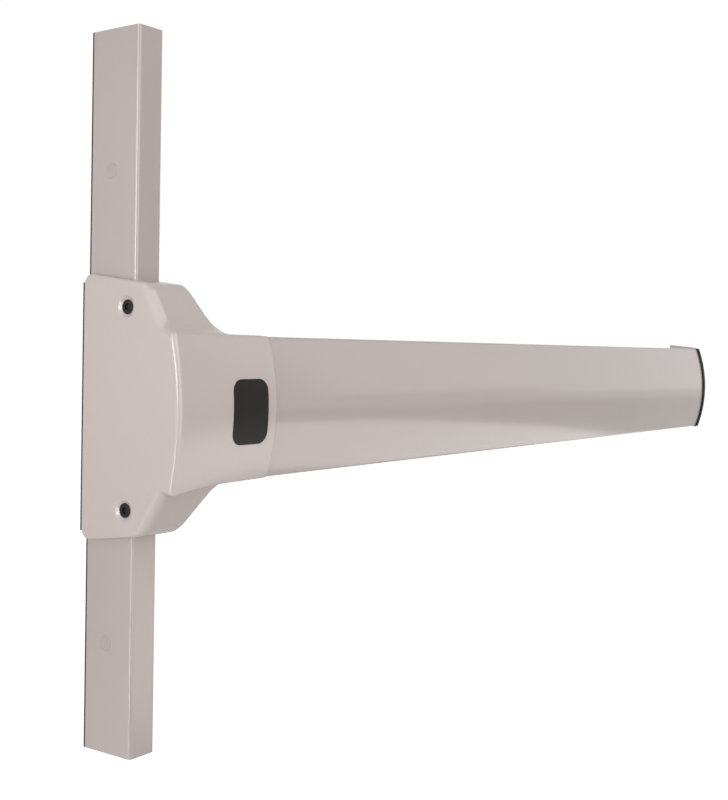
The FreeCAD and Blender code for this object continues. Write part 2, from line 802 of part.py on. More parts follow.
# Levers in the case: the drive plate swings one arm, the other lifts or drops a rod
def lever(name, side):
    body = new_body(name)
    low, high = "lever_low", "(lever_low + lever_thick)"
    tip = signed(side, f"-{ARM}")
    add(body, "door", [("0", "0", "lever_hub / 2")], low, high)
    rod_arm = box_corners(f"-{ARM}", "0", "-arm_width / 2", "arm_width / 2")
    add(body, "door", [rod_arm], low, high)
    add(body, "door", [(f"-{ARM}", "0", "arm_end / 2")], low, high)
    span = (tip, "0") if side > 0 else ("0", tip)
    drive_arm = box_corners("-arm_width / 2", "arm_width / 2", *span)
    add(body, "door", [drive_arm], low, high)
    add(body, "door", [("0", tip, "arm_end / 2")], low, high)
    cut_through(body, "door", [("0", "0", "lever_bore / 2 + running")], low, high)
    for x, z in ((f"-{ARM}", "0"), ("0", tip)):
        cut_through(body, "door", [(x, z, "push_pin / 2 + seat")], low, high)
    place(body, "lever_x", "0", signed(side, "lever_z"), (0, side, 0), "half_swing")
    return keep(body, name)


def lever_pins(name, side):
    tip = signed(side, f"-{ARM}")
    drive_pin = cylinder(
        f"{name}_drive", "depth", "0", tip, "push_pin / 2", "drive_depth - pin_proud",
        "lever_low + lever_thick",
    )
    rod_pin = cylinder(
        f"{name}_rod", "depth", f"-{ARM}", "0", "push_pin / 2", "lever_low",
        "rod_depth + shoe_thick / 2 + pin_proud",
    )
    pins = combine("Compound", name, [drive_pin, rod_pin])
    place(pins, "lever_x", "0", signed(side, "lever_z"), (0, side, 0), "half_swing")
    return keep(pins, name)


def lever_studs():
    studs = []
    for number, side in enumerate((1, -1)):
        z = signed(side, "lever_z")
        tail = cylinder(f"stud{number}_tail", "depth", "lever_x", z, "stud_tail / 2", "slip", "plate_thick")
        shoulder = cylinder(
            f"stud{number}_shoulder", "depth", "lever_x", z, "stud_shoulder / 2", "plate_thick",
            "lever_low - slip / 2",
        )
        post = cylinder(
            f"stud{number}_post", "depth", "lever_x", z, "lever_bore / 2", "lever_low - slip / 2",
            "lever_low + lever_thick + slip + clip_thick + pin_proud",
        )
        studs.append(combine("MultiFuse", f"stud{number}", [tail, shoulder, post]))
    return keep(combine("Compound", "lever_studs", studs), "lever_studs")


def lever_clips():
    clips = []
    start = "(lever_low + lever_thick + slip)"
    for number, side in enumerate((1, -1)):
        z = signed(side, "lever_z")
        disc = cylinder(
            f"clip{number}_disc", "depth", "lever_x", z, "clip_outer / 2", start, f"{start} + clip_thick"
        )
        bore = cylinder(
            f"clip{number}_bore", "depth", "lever_x", z, "lever_bore / 2 + seat", f"{start} - overcut",
            f"{start} + clip_thick + overcut",
        )
        clips.append(combine("Cut", f"clip{number}", [disc, bore]))
    return keep(combine("Compound", "lever_clips", clips), "lever_clips")


# Vertical rods with their slotted shoes, locknuts and threaded ends
def rod(name, side, cover_end):
    body = new_body(name)
    end = f"({cover_end} - rod_gap)"
    span = mirrored(side, f"{BOSS_START} + merge", end)
    add(body, "level", [("0", "rod_depth", "rod_diameter / 2")], *span)
    span = mirrored(side, f"{end} - rod_thread_length", f"{end} + overcut")
    cut(body, "level", [("0", "rod_depth", "rod_thread / 2")], *span)
    return keep(body, name)


def rod_shoe(name, side):
    body = new_body(name)
    low = "(rod_depth - shoe_thick / 2)"
    high = "(rod_depth + shoe_thick / 2)"
    span = mirrored(side, f"{ROD_PIN_Z} - shoe_below_pin", f"{BOSS_START} + merge")
    add(body, "door", [box_corners("-shoe_half", "shoe_half", *span)], low, high)
    span = mirrored(side, BOSS_START, BOSS_END)
    add(body, "level", [("0", "rod_depth", "shoe_boss / 2")], *span)
    x = f"(lever_x - {ARM_MEAN})"
    span = mirrored(side, f"{ROD_PIN_Z} - push_pin / 2 - slip", f"{ROD_PIN_Z} + push_pin / 2 + slip")
    slot = box_corners(
        f"{x} - push_pin / 2 - {SLOT_LONG} / 2", f"{x} + push_pin / 2 + {SLOT_LONG} / 2", *span
    )
    cut_through(body, "door", [slot], low, high)
    span = mirrored(side, f"{BOSS_START} + merge - seat", f"{BOSS_END} + overcut")
    cut(body, "level", [("0", "rod_depth", "rod_diameter / 2 + seat")], *span)
    return keep(body, name)


def rod_nut(name, side):
    body = new_body(name)
    corner = "(nut_flats / sqrt(3))"
    flat = "(nut_flats / 2)"
    hexagon = [
        ("0", f"rod_depth - {corner}"),
        (flat, f"rod_depth - {corner} / 2"),
        (flat, f"rod_depth + {corner} / 2"),
        ("0", f"rod_depth + {corner}"),
        (f"-{flat}", f"rod_depth + {corner} / 2"),
        (f"-{flat}", f"rod_depth - {corner} / 2"),
    ]
    start = f"({BOSS_END} + seat)"
    span = mirrored(side, start, f"{start} + nut_thick")
    add(body, "level", [hexagon], *span)
    cut_through(body, "level", [("0", "rod_depth", "rod_diameter / 2 + seat")], *span)
    return keep(body, name)


# Channels over the rods, their edge strips, clips, guides and plugs
def rod_cover(name, side, cover_end):
    body = new_body(name)
    outer = "(cover_width / 2)"
    inner_front = "(cover_depth - cover_wall)"
    channel = [
        (f"-{outer}", "gasket_thick"),
        (f"-{outer}", "cover_depth", "cover_edge"),
        (outer, "cover_depth", "cover_edge"),
        (outer, "gasket_thick"),
        (COVER_INNER, "gasket_thick"),
        (COVER_INNER, inner_front),
        (f"-{COVER_INNER}", inner_front),
        (f"-{COVER_INNER}", "gasket_thick"),
    ]
    add(body, "level", [channel], *mirrored(side, COVER_TUCK, cover_end))
    hole = ("plug_depth", signed(side, "clip_z"), "plug_diameter / 2 + running")
    cut_through(body, "side", [hole], f"-{outer}", f"-{COVER_INNER}")
    return keep(body, name)


def cover_gasket(name, side, cover_end):
    span = mirrored(side, COVER_TUCK, cover_end)
    strips = []
    for edge, (left, right) in enumerate((
        ("-cover_width / 2", f"-{COVER_INNER}"),
        (COVER_INNER, "cover_width / 2"),
    )):
        strip = doc.addObject("Part::Box", f"{name}_strip{edge}")
        bind(
            strip, Length=f"({right}) - ({left})", Width="gasket_thick", Height=f"({span[1]}) - ({span[0]})"
        )
        place(strip, left, "gasket_thick", span[0])
        strips.append(strip)
    return keep(combine("Compound", name, strips), name)


def cover_clip(name, side):
    body = new_body(name)
    outer = f"({COVER_INNER} - slip / 2)"
    inner = f"({outer} - clip_wall)"
    clip = [
        (f"-{outer}", "0"),
        (outer, "0"),
        (outer, "clip_rise"),
        (inner, "clip_rise"),
        (inner, "clip_wall"),
        (f"-{inner}", "clip_wall"),
        (f"-{inner}", "clip_rise"),
        (f"-{outer}", "clip_rise"),
    ]
    add(body, "level", [clip], *mirrored(side, "clip_z - clip_half", "clip_z + clip_half"))
    z = signed(side, "clip_z")
    cut_through(body, "side", [("plug_depth", z, "plug_diameter / 2 + running")], f"-{outer}", f"-{inner}")
    cut_through(body, "door", [("0", z, "bolt_hole / 2")], "0", "clip_wall")
    return keep(body, name)


def rod_guide(name, side):
    body = new_body(name)
    half = f"({COVER_INNER} - slip / 2 - clip_wall - slip / 2)"
    low = "(clip_wall + seat)"
    block = box_corners(f"-{half}", half, low, "guide_front")
    add(body, "level", [block], *mirrored(side, "clip_z - guide_half", "clip_z + guide_half"))
    bore = ("0", "rod_depth", "rod_diameter / 2 + running")
    cut_through(body, "level", [bore], *mirrored(side, "clip_z - guide_half", "clip_z + guide_half"))
    recess = ("0", signed(side, "clip_z"), "screw_pocket / 2")
    cut(body, "door", [recess], f"{low} - overcut", f"{low} + screw_pocket_depth")
    return keep(body, name)


def cover_plugs():
    end = f"(-({COVER_INNER} - slip / 2 - clip_wall))"
    plugs = [
        cylinder(
            f"plug{number}", "x", "plug_depth", signed(side, "clip_z"), "plug_diameter / 2",
            "-cover_width / 2", end,
        )
        for number, side in enumerate((1, -1))
    ]
    return keep(combine("Compound", "cover_plugs", plugs), "cover_plugs")


# Case cover: bar-shaped body with drafted flares above and below, hollow and open to the door
def lean(foot, z):
    """X of the flares' slanted side at a height."""
    return f"({foot} - {FLARE_LEAN} * ({z} - bar_height / 2))"


def case_form(name, inset):
    """The case's outer form, or the same form set in by a wall."""
    body = new_body(name)
    back = f"(gasket_thick + {inset})"
    end = f"(case_end + {inset})"
    half = f"(bar_height / 2 - {inset})"
    left = f"(-case_side + {inset})"
    add(body, "side", [bar_section(back, half, f"bar_edge_depth - {inset}")], left, end)
    top = f"(case_height / 2 - {inset})"
    front_top = f"({top} - case_draft)"
    flares = [
        (back, f"-{top}", f"case_back_round - {inset}"),
        (f"flare_depth - {inset}", f"-{front_top}"),
        (f"flare_slope_end - {inset}", f"-{half}"),
        (f"flare_slope_end - {inset}", half),
        (f"flare_depth - {inset}", front_top),
        (back, top, f"case_back_round - {inset}"),
    ]
    add(body, "side", [flares], left, "flare_foot + flare_foot_round")
    foot = f"(flare_foot - {inset})"
    above = f"({top} + 10)"
    for side in (1, -1):
        waste = [
            (lean(foot, above), signed(side, above)),
            (foot, signed(side, half), f"flare_foot_round + {inset}"),
            ("case_end - overcut", signed(side, half)),
            ("case_end - overcut", signed(side, above)),
        ]
        cut(body, "door", [waste], "0", "bar_edge_depth")
    dress(
        body, "Fillet", "Radius", f"flare_top_round - {inset}",
        lambda e: e.CenterOfMass.x > value("flare_top") - 2 and abs(e.CenterOfMass.z) > value(top) - 6,
    )
    return body


def case_outline(inset, top, end):
    """The case's outline seen from the room, set in by a width."""
    left = f"(-case_side + {inset})"
    foot = f"(flare_foot - {inset})"
    half = f"(bar_height / 2 - {inset})"
    bend = f"flare_foot_round + {inset}"
    return [
        (left, f"-{top}"),
        (lean(foot, top), f"-{top}"),
        (foot, f"-{half}", bend),
        (end, f"-{half}"),
        (end, half),
        (foot, half, bend),
        (lean(foot, top), top),
        (left, top),
    ]


def rod_passage(body, back, front, low):
    """Openings in the top and bottom for the rod covers."""
    side = "(cover_width / 2 + slip)"
    for way in (1, -1):
        span = mirrored(way, low, "case_height / 2 + overcut")
        cut(body, "level", [box_corners(f"-{side}", side, back, front)], *span)


def case_cover():
    body = case_form("case_cover", "0")
    hollow = body.newObject("PartDesign::Boolean", "case_cover_hollow")
    hollow.setObjects([case_form("case_hollow", "case_wall")])
    hollow.Type = "Cut"
    edge = "(case_height / 2 - case_back_round - case_wall - opening_margin)"
    mouth = case_outline("case_wall", edge, "case_end + overcut")
    cut(body, "door", [mouth], "0", "gasket_thick + case_wall + overcut")
    rod_passage(body, "0", "cover_depth + slip", COVER_TUCK)
    outside = "(-case_side)"
    for side in (1, -1):
        z = signed(side, SCREW_HEIGHT)
        add(
            body, "side", [("screw_depth", z, "boss_diameter / 2")],
            f"{outside} + case_wall / 2", f"{outside} + case_wall + boss_length",
        )
        hole = ("screw_depth", z, "screw_shank / 2 + slip")
        cut_through(body, "side", [hole], outside, f"{outside} + case_wall + boss_length")
        cut(
            body, "side", [("screw_depth", z, "dimple_bore / 2")],
            f"{outside} - overcut", f"{outside} + dimple_floor",
        )
    dress(
        body, "Chamfer", "Size", "dimple_cone",
        lambda e: at(e.CenterOfMass.x, outside) and at(e.Length, "pi * dimple_bore"),
    )
    return keep(body, "case_cover")


def case_gasket():
    body = new_body("case_gasket")
    body.AllowCompound = True
    edge = "(case_height / 2 - case_back_round)"
    add(body, "door", [case_outline("0", edge, "case_end")], "0", "gasket_thick")
    inner = case_outline("gasket_width", f"({edge} - gasket_width)", "case_end + overcut")
    cut_through(body, "door", [inner], "0", "gasket_thick")
    rod_passage(body, "-overcut", "gasket_thick + overcut", COVER_TUCK)
    return keep(body, "case_gasket")


# Base plate with two upturned tabs for the cover's screws
def base_plate():
    body = new_body("base_plate")
    left = f"(-{TAB_SIDE})"
    body_half = "(bar_height / 2 - plate_body_margin)"
    body_end = "(case_end - plate_end_gap)"
    neck_end = f"({RAIL_START} + plate_neck_lap)"
    outline = [
        (left, f"-{PLATE_HALF}"),
        ("plate_top", f"-{PLATE_HALF}"),
        ("plate_shoulder", f"-{body_half}"),
        (body_end, f"-{body_half}"),
        (body_end, f"-{NECK_HALF}"),
        (neck_end, f"-{NECK_HALF}"),
        (neck_end, NECK_HALF),
        (body_end, NECK_HALF),
        (body_end, body_half),
        ("plate_shoulder", body_half),
        ("plate_top", PLATE_HALF),
        (left, PLATE_HALF),
    ]
    add(body, "door", [outline], "0", "plate_thick")
    for side in (1, -1):
        span = mirrored(side, f"{SCREW_HEIGHT} - tab_half", f"{SCREW_HEIGHT} + tab_half")
        tab = box_corners("0", "screw_depth + tab_half", *span)
        add(body, "side", [tab], left, f"{left} + tab_thick")
        hole = ("screw_depth", signed(side, SCREW_HEIGHT), "screw_shank / 2 + seat")
        cut_through(body, "side", [hole], left, f"{left} + tab_thick")
        bolts = [(x, signed(side, "bolt_pitch_z / 2"), "bolt_hole / 2") for x in BOLT_PLACES]
        stud = ("lever_x", signed(side, "lever_z"), "stud_tail / 2 + seat")
        rail_screw = (RAIL_SCREWS[0], signed(side, "rail_screw_z"), "screw_shank / 2 + seat")
        cut_through(body, "door", [*bolts, stud, rail_screw], "0", "plate_thick")
    return keep(body, "base_plate")


def cover_screws():
    screws = []
    bearing = "(-case_side + dimple_floor - seat)"
    for number, side in enumerate((1, -1)):
        z = signed(side, SCREW_HEIGHT)
        head = cylinder(
            f"cover_screw{number}_head", "x", "screw_depth", z, "screw_head / 2",
            f"{bearing} - screw_head_thick", bearing,
        )
        shank = cylinder(
            f"cover_screw{number}_shank", "x", "screw_depth", z, "screw_shank / 2", bearing,
            f"{bearing} + screw_length",
        )
        socket = cylinder(
            f"cover_screw{number}_socket", "x", "screw_depth", z, "screw_socket / 2",
            f"{bearing} - screw_head_thick - overcut", f"{bearing} - screw_head_thick + screw_socket_depth",
        )
        whole = combine("MultiFuse", f"cover_screw{number}_body", [head, shank])
        screws.append(combine("Cut", f"cover_screw{number}", [whole, socket]))
    return keep(combine("Compound", "cover_screws", screws), "cover_screws")


# Blank badge that follows the bulging front
def badge():
    outline = new_body("badge_outline")
    low, high = "(-badge_drop - badge_height / 2)", "(-badge_drop + badge_height / 2)"
    corners = box_corners("badge_x - badge_width / 2", "badge_x + badge_width / 2", low, high)
    rounded = [(x, z, "badge_round") for x, z in corners]
    add(outline, "door", [rounded], "bar_edge_depth", "bar_edge_depth + bar_bulge + 2 * badge_thick")
    radius = front_radius("bar_height / 2")
    centre = f"(bar_edge_depth + bar_bulge - {radius})"
    skins = [
        cylinder(name, "x", centre, "0", f"{radius} + {more}", "0", "case_end")
        for name, more in (("badge_outer", "badge_thick"), ("badge_inner", "seat"))
    ]
    skin = combine("Cut", "badge_skin", skins)
    return keep(combine("MultiCommon", "badge", [skin, outline]), "badge")


# Rail on the door that carries the bar and the cranks
def rail():
    body = new_body("rail")
    inner = f"({RAIL_HALF} - rail_wall)"
    web = "(plate_thick + rail_wall)"
    flange_start = f"({SLEEVE_END} + flange_start_gap)"
    base = box_corners("plate_thick", web, f"-{RAIL_HALF}", RAIL_HALF)
    add(body, "side", [base], RAIL_START, RAIL_END)
    for side in (1, -1):
        wall = box_corners("plate_thick", RAIL_FRONT, *mirrored(side, inner, RAIL_HALF))
        add(body, "side", [wall], RAIL_START, RAIL_END)
        flange = box_corners(f"{RAIL_FRONT} - rail_wall", RAIL_FRONT, *mirrored(side, inner, RAIL_FLANGE))
        add(body, "side", [flange], flange_start, RAIL_END)
    for crank_x in CRANK_PLACES:
        hole = (crank_x, "crank_depth", "crank_bore / 2 + seat")
        cut_through(body, "level", [hole], f"-{RAIL_HALF}", RAIL_HALF)
    holes = [
        (x, signed(side, "rail_screw_z"), "screw_shank / 2 + seat")
        for x in RAIL_SCREWS
        for side in (1, -1)
    ]
    cut_through(body, "door", holes, "plate_thick", web)
    return keep(body, "rail")


def rail_screws():
    screws = []
    bearing = "(plate_thick + rail_wall + seat)"
    for x in RAIL_SCREWS:
        for side in (1, -1):
            z = signed(side, "rail_screw_z")
            number = len(screws)
            head = cylinder(
                f"rail_screw{number}_head", "depth", x, z, "pan_head / 2", bearing,
                f"{bearing} + pan_head_thick",
            )
            shank = cylinder(
                f"rail_screw{number}_shank", "depth", x, z, "screw_shank / 2", "screw_tip", bearing
            )
            screws.append(combine("MultiFuse", f"rail_screw{number}", [head, shank]))
    return keep(combine("Compound", "rail_screws", screws), "rail_screws")


def end_bracket():
    body = new_body("end_bracket")
    width = (f"-{NECK_HALF}", NECK_HALF)
    foot = box_corners(BRACKET_START, BRACKET_END, *width)
    add(body, "door", [foot], "0", "bracket_thick")
    upright = box_corners("0", "bracket_rise", *width)
    add(body, "side", [upright], f"{BRACKET_END} - bracket_thick", BRACKET_END)
    for side in (1, -1):
        z = signed(side, "bracket_bolt_pitch / 2")
        bolt = (f"{BRACKET_END} - bracket_bolt_inset", z, "bolt_hole / 2")
        rail_screw = (RAIL_SCREWS[1], signed(side, "rail_screw_z"), "screw_shank / 2 + seat")
        cut_through(body, "door", [bolt, rail_screw], "0", "bracket_thick")
    return keep(body, "end_bracket")


CRANKS = zip(("left", "right"), CRANK_PLACES)
RODS = (("upper", "top", 1, "upper_cover_end"), ("lower", "bottom", -1, "lower_cover_end"))

for piece in (base_plate, case_cover, case_gasket, cover_screws, badge, rail, rail_screws, end_bracket):
    piece()
for piece in (touch_bar, bar_end_sleeve, end_cap, end_cap_latch, bracket_screws, crank_pivot_pins):
    piece()
for where, crank_x in CRANKS:
    push_bracket(f"{where}_push_bracket", crank_x)
    crank(f"{where}_crank", crank_x)
    crank_pins(f"{where}_crank_pins", crank_x)
for piece in (link_bar, drive_plate, link_lug, link_rivets, spring_rod, spring_anchor, return_spring):
    piece()
for piece in (lever_studs, lever_clips, cover_plugs):
    piece()
for cover_side, where, side, cover_end in RODS:
    lever(f"{where}_lever", side)
    lever_pins(f"{where}_lever_pins", side)
    rod(f"{where}_rod", side, cover_end)
    rod_shoe(f"{where}_rod_shoe", side)
    rod_nut(f"{where}_rod_nut", side)
    rod_cover(f"{cover_side}_rod_cover", side, cover_end)
    cover_gasket(f"{cover_side}_cover_gasket", side, cover_end)
    cover_clip(f"{cover_side}_cover_clip", side)
    rod_guide(f"{cover_side}_rod_guide", side)
doc.recompute()

# Every feature must be sound, and every cut must take material away
for thing in doc.Objects:
    if "Invalid" in thing.State or "Error" in thing.State:
        raise RuntimeError(f"{thing.Name}: {thing.State}")
for body in (thing for thing in doc.Objects if thing.TypeId == "PartDesign::Body"):
    solid_steps = [step for step in body.Group if hasattr(step, "BaseFeature")]
    for before, after in zip(solid_steps, solid_steps[1:]):
        grows = after.TypeId == "PartDesign::Pad"
        change = after.Shape.Volume - before.Shape.Volume
        if grows != (change > 0) and after.TypeId != "PartDesign::Fillet":
            raise RuntimeError(f"{after.Name}: volume changed by {change:.3f}")

os.makedirs("parts", exist_ok=True)
for thing in parts:
    shape = thing.Shape
    if shape.isNull() or not shape.isValid() or not shape.Solids:
        raise RuntimeError(f"{thing.Label}: no valid solid")
    shape.exportStep(f"parts/{thing.Label}.step")
    print(thing.Label, len(shape.Solids), round(shape.Volume))
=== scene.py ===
import json
import math
from collections import namedtuple

import bmesh
import bpy
from mathutils import Matrix, Vector


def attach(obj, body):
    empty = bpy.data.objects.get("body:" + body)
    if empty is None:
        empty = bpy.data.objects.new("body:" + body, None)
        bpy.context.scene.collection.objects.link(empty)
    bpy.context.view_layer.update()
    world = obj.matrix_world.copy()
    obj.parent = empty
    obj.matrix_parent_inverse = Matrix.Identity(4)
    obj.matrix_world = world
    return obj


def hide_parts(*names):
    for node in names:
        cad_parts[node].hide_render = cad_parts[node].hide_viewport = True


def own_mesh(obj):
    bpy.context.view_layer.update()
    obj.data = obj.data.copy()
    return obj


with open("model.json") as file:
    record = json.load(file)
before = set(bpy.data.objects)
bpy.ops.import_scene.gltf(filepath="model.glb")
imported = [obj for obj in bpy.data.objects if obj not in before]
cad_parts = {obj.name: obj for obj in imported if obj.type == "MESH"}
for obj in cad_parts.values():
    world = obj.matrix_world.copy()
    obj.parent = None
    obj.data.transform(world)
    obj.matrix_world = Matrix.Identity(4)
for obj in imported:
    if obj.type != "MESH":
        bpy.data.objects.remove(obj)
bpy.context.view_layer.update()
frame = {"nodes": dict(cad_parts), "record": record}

MM = 0.001

# Sizes of the visible forms, in millimetres. Depth is the distance from the door face,
# x runs from the lock side to the hinge side, z is the height off the bar's middle.
BAR_HALF, BAR_EDGE, BAR_BULGE = 45.0, 73.0, 8.0
BAR_START, BAR_END = 72.8, 838.0
SEAM_STEP = 0.8
SKIN_HALF, SKIN_EDGE = BAR_HALF - SEAM_STEP, BAR_EDGE - SEAM_STEP
FRONT_STEPS = 64

CASE_LEFT, CASE_END = -15.0, 72.0
CASE_BACK, CASE_OUT = 1.2, BAR_EDGE + BAR_BULGE
CASE_WALL = 1.5
CASE_TOP, CASE_DRAFT, DRAFT_DEPTH = 81.0, 7.0, 54.0
BACK_ROUND, EDGE_ROUND, END_ROUND = 6.0, 1.5, 0.4
# The front stands a little fuller at its left end, and is a little lower at the seam
FULLER_EDGE, FULLER_OUT = 2.4, 0.5
SEAM_TAPER, SEAM_TAPER_START = 0.45, 30.0
# The front's lower edge runs down to the left
LOWER_DROP, LOWER_DROP_START = 4.2, 25.0

# Flares above (1) and below (-1) the bar: where the slanted side meets the bar and how roundly,
# where the front slope begins and ends in depth, and how far the edge that it runs to is dropped
Flare = namedtuple("Flare", "foot foot_round slope_start slope_end drop")
FLARES = {1: Flare(30.0, 22.0, 54.0, 70.0, 0.0), -1: Flare(28.8, 14.6, 51.9, 69.1, LOWER_DROP)}
FLARE_LEAN = 14.5 / 36.0
# Reach of the rounding between a flare's top and front slope, and between these and its side
CREST_REACH, SIDE_REACH = 6.0, 6.5
# How far the front slope is set in along the depth for each millimetre of the wall's rounding
SLOPE_SET_IN = 1.14

# Ledge between the upper flare and the bar's front, which fades in with the flare's height:
# tilt, length, extra roundness and the height that it needs to be whole
LEDGE_TILT, LEDGE_LENGTH, LEDGE_ROUND, LEDGE_FADE = 0.55, 8.0, 1.5, 12.0
# Reach of the blend between flare and front, and how much the ledge adds to it
BLEND_REACH, LEDGE_REACH = 0.8, 2.7
# How far the front's edge and its bulge are set in for each millimetre of the wall's rounding,
# and the gap between the last of the depths and the edge's rounding
EDGE_SET_IN, BULGE_SET_IN, EDGE_GAP = 0.8, 0.2, 0.3

# Depths of a case section's points. Those past FIXED_DEPTH are drawn out to the front's edge.
DEPTHS = [
    1.2, 1.6, 2.4, 3.6, 5.2, 7.2, 14, 22, 30, 37, 44, 48, 50, 52, 53, 54, 55, 56, 58, 61, 64,
    65.2, 66.2, 67, 67.8, 68.5, 69.2, 69.9, 70.6, 71.3, 72.0,
]
FIXED_DEPTH, EDGE_STEPS, HALF_FRONT_STEPS = 64, 6, 24

# Places along x where the case has a section, close together where the flares end
STATIONS = [-8.0, -4, 0, 3, 5]
STATIONS += [5 + 0.8 * i for i in range(1, 48)]
STATIONS += [46, 52, 60, 68, 71.2]

# Roundness of the left wall's edge at the case's top, on the flare's front and on the bar's front
RIM_TOP, RIM_FRONT, RIM_BAR = 1.6, 6.0, 3.6
# The depths of the points between which it changes, first from top to front, then to the bar
RIM_DEPTHS = (44, 54, 64, 71.3)

# Rounded lip, cone, bore and floor of a screw's dimple: radius and how far in from the wall's face
DIMPLE = [
    (7.0, 0.0), (6.85, 0.02), (6.65, 0.07), (6.45, 0.16), (6.25, 0.28), (6.0, 0.45), (5.0, 1.05),
    (4.45, 1.36), (4.2, 1.55), (4.12, 1.8), (4.1, 2.6), (2.9, 2.6),
]
RING_STEPS = 48
SCREW_DEPTH, SCREW_HEIGHT = 37.0, 60.0

# Hollow touch bar: wall, how near its faces a point counts as on them, lips at its back, and
# the track for the push brackets
BAR_WALL = 2.0
SIDE_BAND, FRONT_BAND = 0.8, 0.9
LIP_BACK, LIP_FRONT, LIP_REACH = 45.0, 47.0, 8.0
TRACK_HALF, TRACK_INNER, TRACK_MOUTH = 22.0, 20.0, 15.0
TRACK_BACK, TRACK_FRONT, TRACK_MARGIN = 64.0, 66.0, 0.6

CAP_BACK, CAP_THICK, CAP_LIP, CAP_FRONT_LIP = 44.0, 5.0, 0.5, 1.4
TONGUE_BACK, TONGUE_FRONT, TONGUE_LOW, TONGUE_HIGH = 47.3, 67.3, 38.9, 41.9
TONGUE_REACH, TONGUE_ROOT = 14, 2
TAB_BACK, TAB_BACK_RISE, TAB_FRONT, TAB_FRONT_RISE = 45.3, 4.0, 71.8, 1.5
TAB_REACH, TAB_GAP, TAB_LIFT = 12, 0.3, 0.02

COVER_HALF, COVER_BACK, COVER_FRONT, COVER_WALL = 10.0, 1.2, 40.0, 1.2
COVER_START, UPPER_COVER_END, LOWER_COVER_END = 68.0, 227.0, -208.0
PLUG_RADIUS, PLUG_LENGTH, PLUG_MIDDLE, PLUG_DEPTH, PLUG_HEIGHT = 4.6, 1.1, -9.7, 18.0, 142.0
BADGE_WIDTH, BADGE_HEIGHT, BADGE_X, BADGE_Z = 31.8, 40.0, 47.5, -2.0
BADGE_CORNER, BADGE_THICK, BADGE_SUNK, BADGE_SLICES = 7.5, 1.0, 0.2, 24

# Rounded edges: width and number of steps
BAR_CORNER, BAR_LIP_EDGE, BAR_RIM = (3.4, 8), (0.8, 3), (0.3, 3)
CAP_CORNER, CAP_BACK_EDGE, CAP_FACE_EDGE, CAP_SEAT_EDGE = (5.0, 8), (1.2, 4), (1.4, 4), (0.5, 3)
TONGUE_TIP, TAB_EDGE = (0.8, 3), (0.6, 4)
COVER_CORNER, COVER_INNER_CORNER = (2.2, 7), (0.5, 3)
PLUG_EDGE, BADGE_EDGE = (0.22, 4), (0.3, 3)


def at(x, depth, z):
    """A point in the row frame."""
    return Vector((x, -depth, z)) * MM


# Finishes

MOTTLE_SCALE, MOTTLE_DETAIL = 22.0, 3.0
GRAIN_SCALE, GRAIN_DETAIL, GRAIN_HEIGHT, GRAIN_SHARE = 900.0, 2.0, 0.0002, 0.6
# Where most of a noise's values lie
NOISE_LOW, NOISE_HIGH = 0.3, 0.7


def add_node(tree, kind, values=(), operation=None):
    """A shader node with (socket, constant) pairs set on it."""
    made = tree.nodes.new(kind)
    if operation:
        made.operation = operation
    for socket, value in values:
        made.inputs[socket].default_value = value
    return made


def finish(name, colour, metallic, roughness, grain=0.0, shade=0.06, rough_spread=0.05,
           specular=0.5):
    """A surface with mottled colour, uneven gloss and a fine grain, all on object coordinates."""
    material = bpy.data.materials.new(name)
    material.use_nodes = True
    tree = material.node_tree
    tree.nodes.clear()
    output = add_node(tree, "ShaderNodeOutputMaterial")
    surface = add_node(tree, "ShaderNodeBsdfPrincipled", [
        ("Metallic", metallic), ("Specular IOR Level", specular),
    ])
    tree.links.new(surface.outputs["BSDF"], output.inputs["Surface"])
    place = add_node(tree, "ShaderNodeTexCoord")

    def noise(scale, detail):
        made = add_node(tree, "ShaderNodeTexNoise", [("Scale", scale), ("Detail", detail)])
        tree.links.new(place.outputs["Object"], made.inputs["Vector"])
        return made.outputs["Fac"]

    def spread(value, low, high):
        made = add_node(tree, "ShaderNodeMapRange", [
            ("From Min", NOISE_LOW), ("From Max", NOISE_HIGH), ("To Min", low), ("To Max", high),
        ])
        tree.links.new(value, made.inputs["Value"])
        return made.outputs["Result"]

    broad = noise(MOTTLE_SCALE, MOTTLE_DETAIL)
    fine = noise(GRAIN_SCALE, GRAIN_DETAIL)
    blend = add_node(tree, "ShaderNodeMix", [("Factor", GRAIN_SHARE)])
    tree.links.new(broad, blend.inputs["A"])
    tree.links.new(fine, blend.inputs["B"])
    tone = spread(blend.outputs["Result"], 1.0 - shade, 1.0 + shade)
    paint = add_node(tree, "ShaderNodeVectorMath", [(0, colour)], "SCALE")
    tree.links.new(tone, paint.inputs["Scale"])
    tree.links.new(paint.outputs["Vector"], surface.inputs["Base Color"])
    gloss = spread(broad, roughness - rough_spread, roughness + rough_spread)
    tree.links.new(gloss, surface.inputs["Roughness"])
    if grain:
        bump = add_node(tree, "ShaderNodeBump", [("Strength", grain), ("Distance", GRAIN_HEIGHT)])
        tree.links.new(fine, bump.inputs["Height"])
        tree.links.new(bump.outputs["Normal"], surface.inputs["Normal"])
    return material


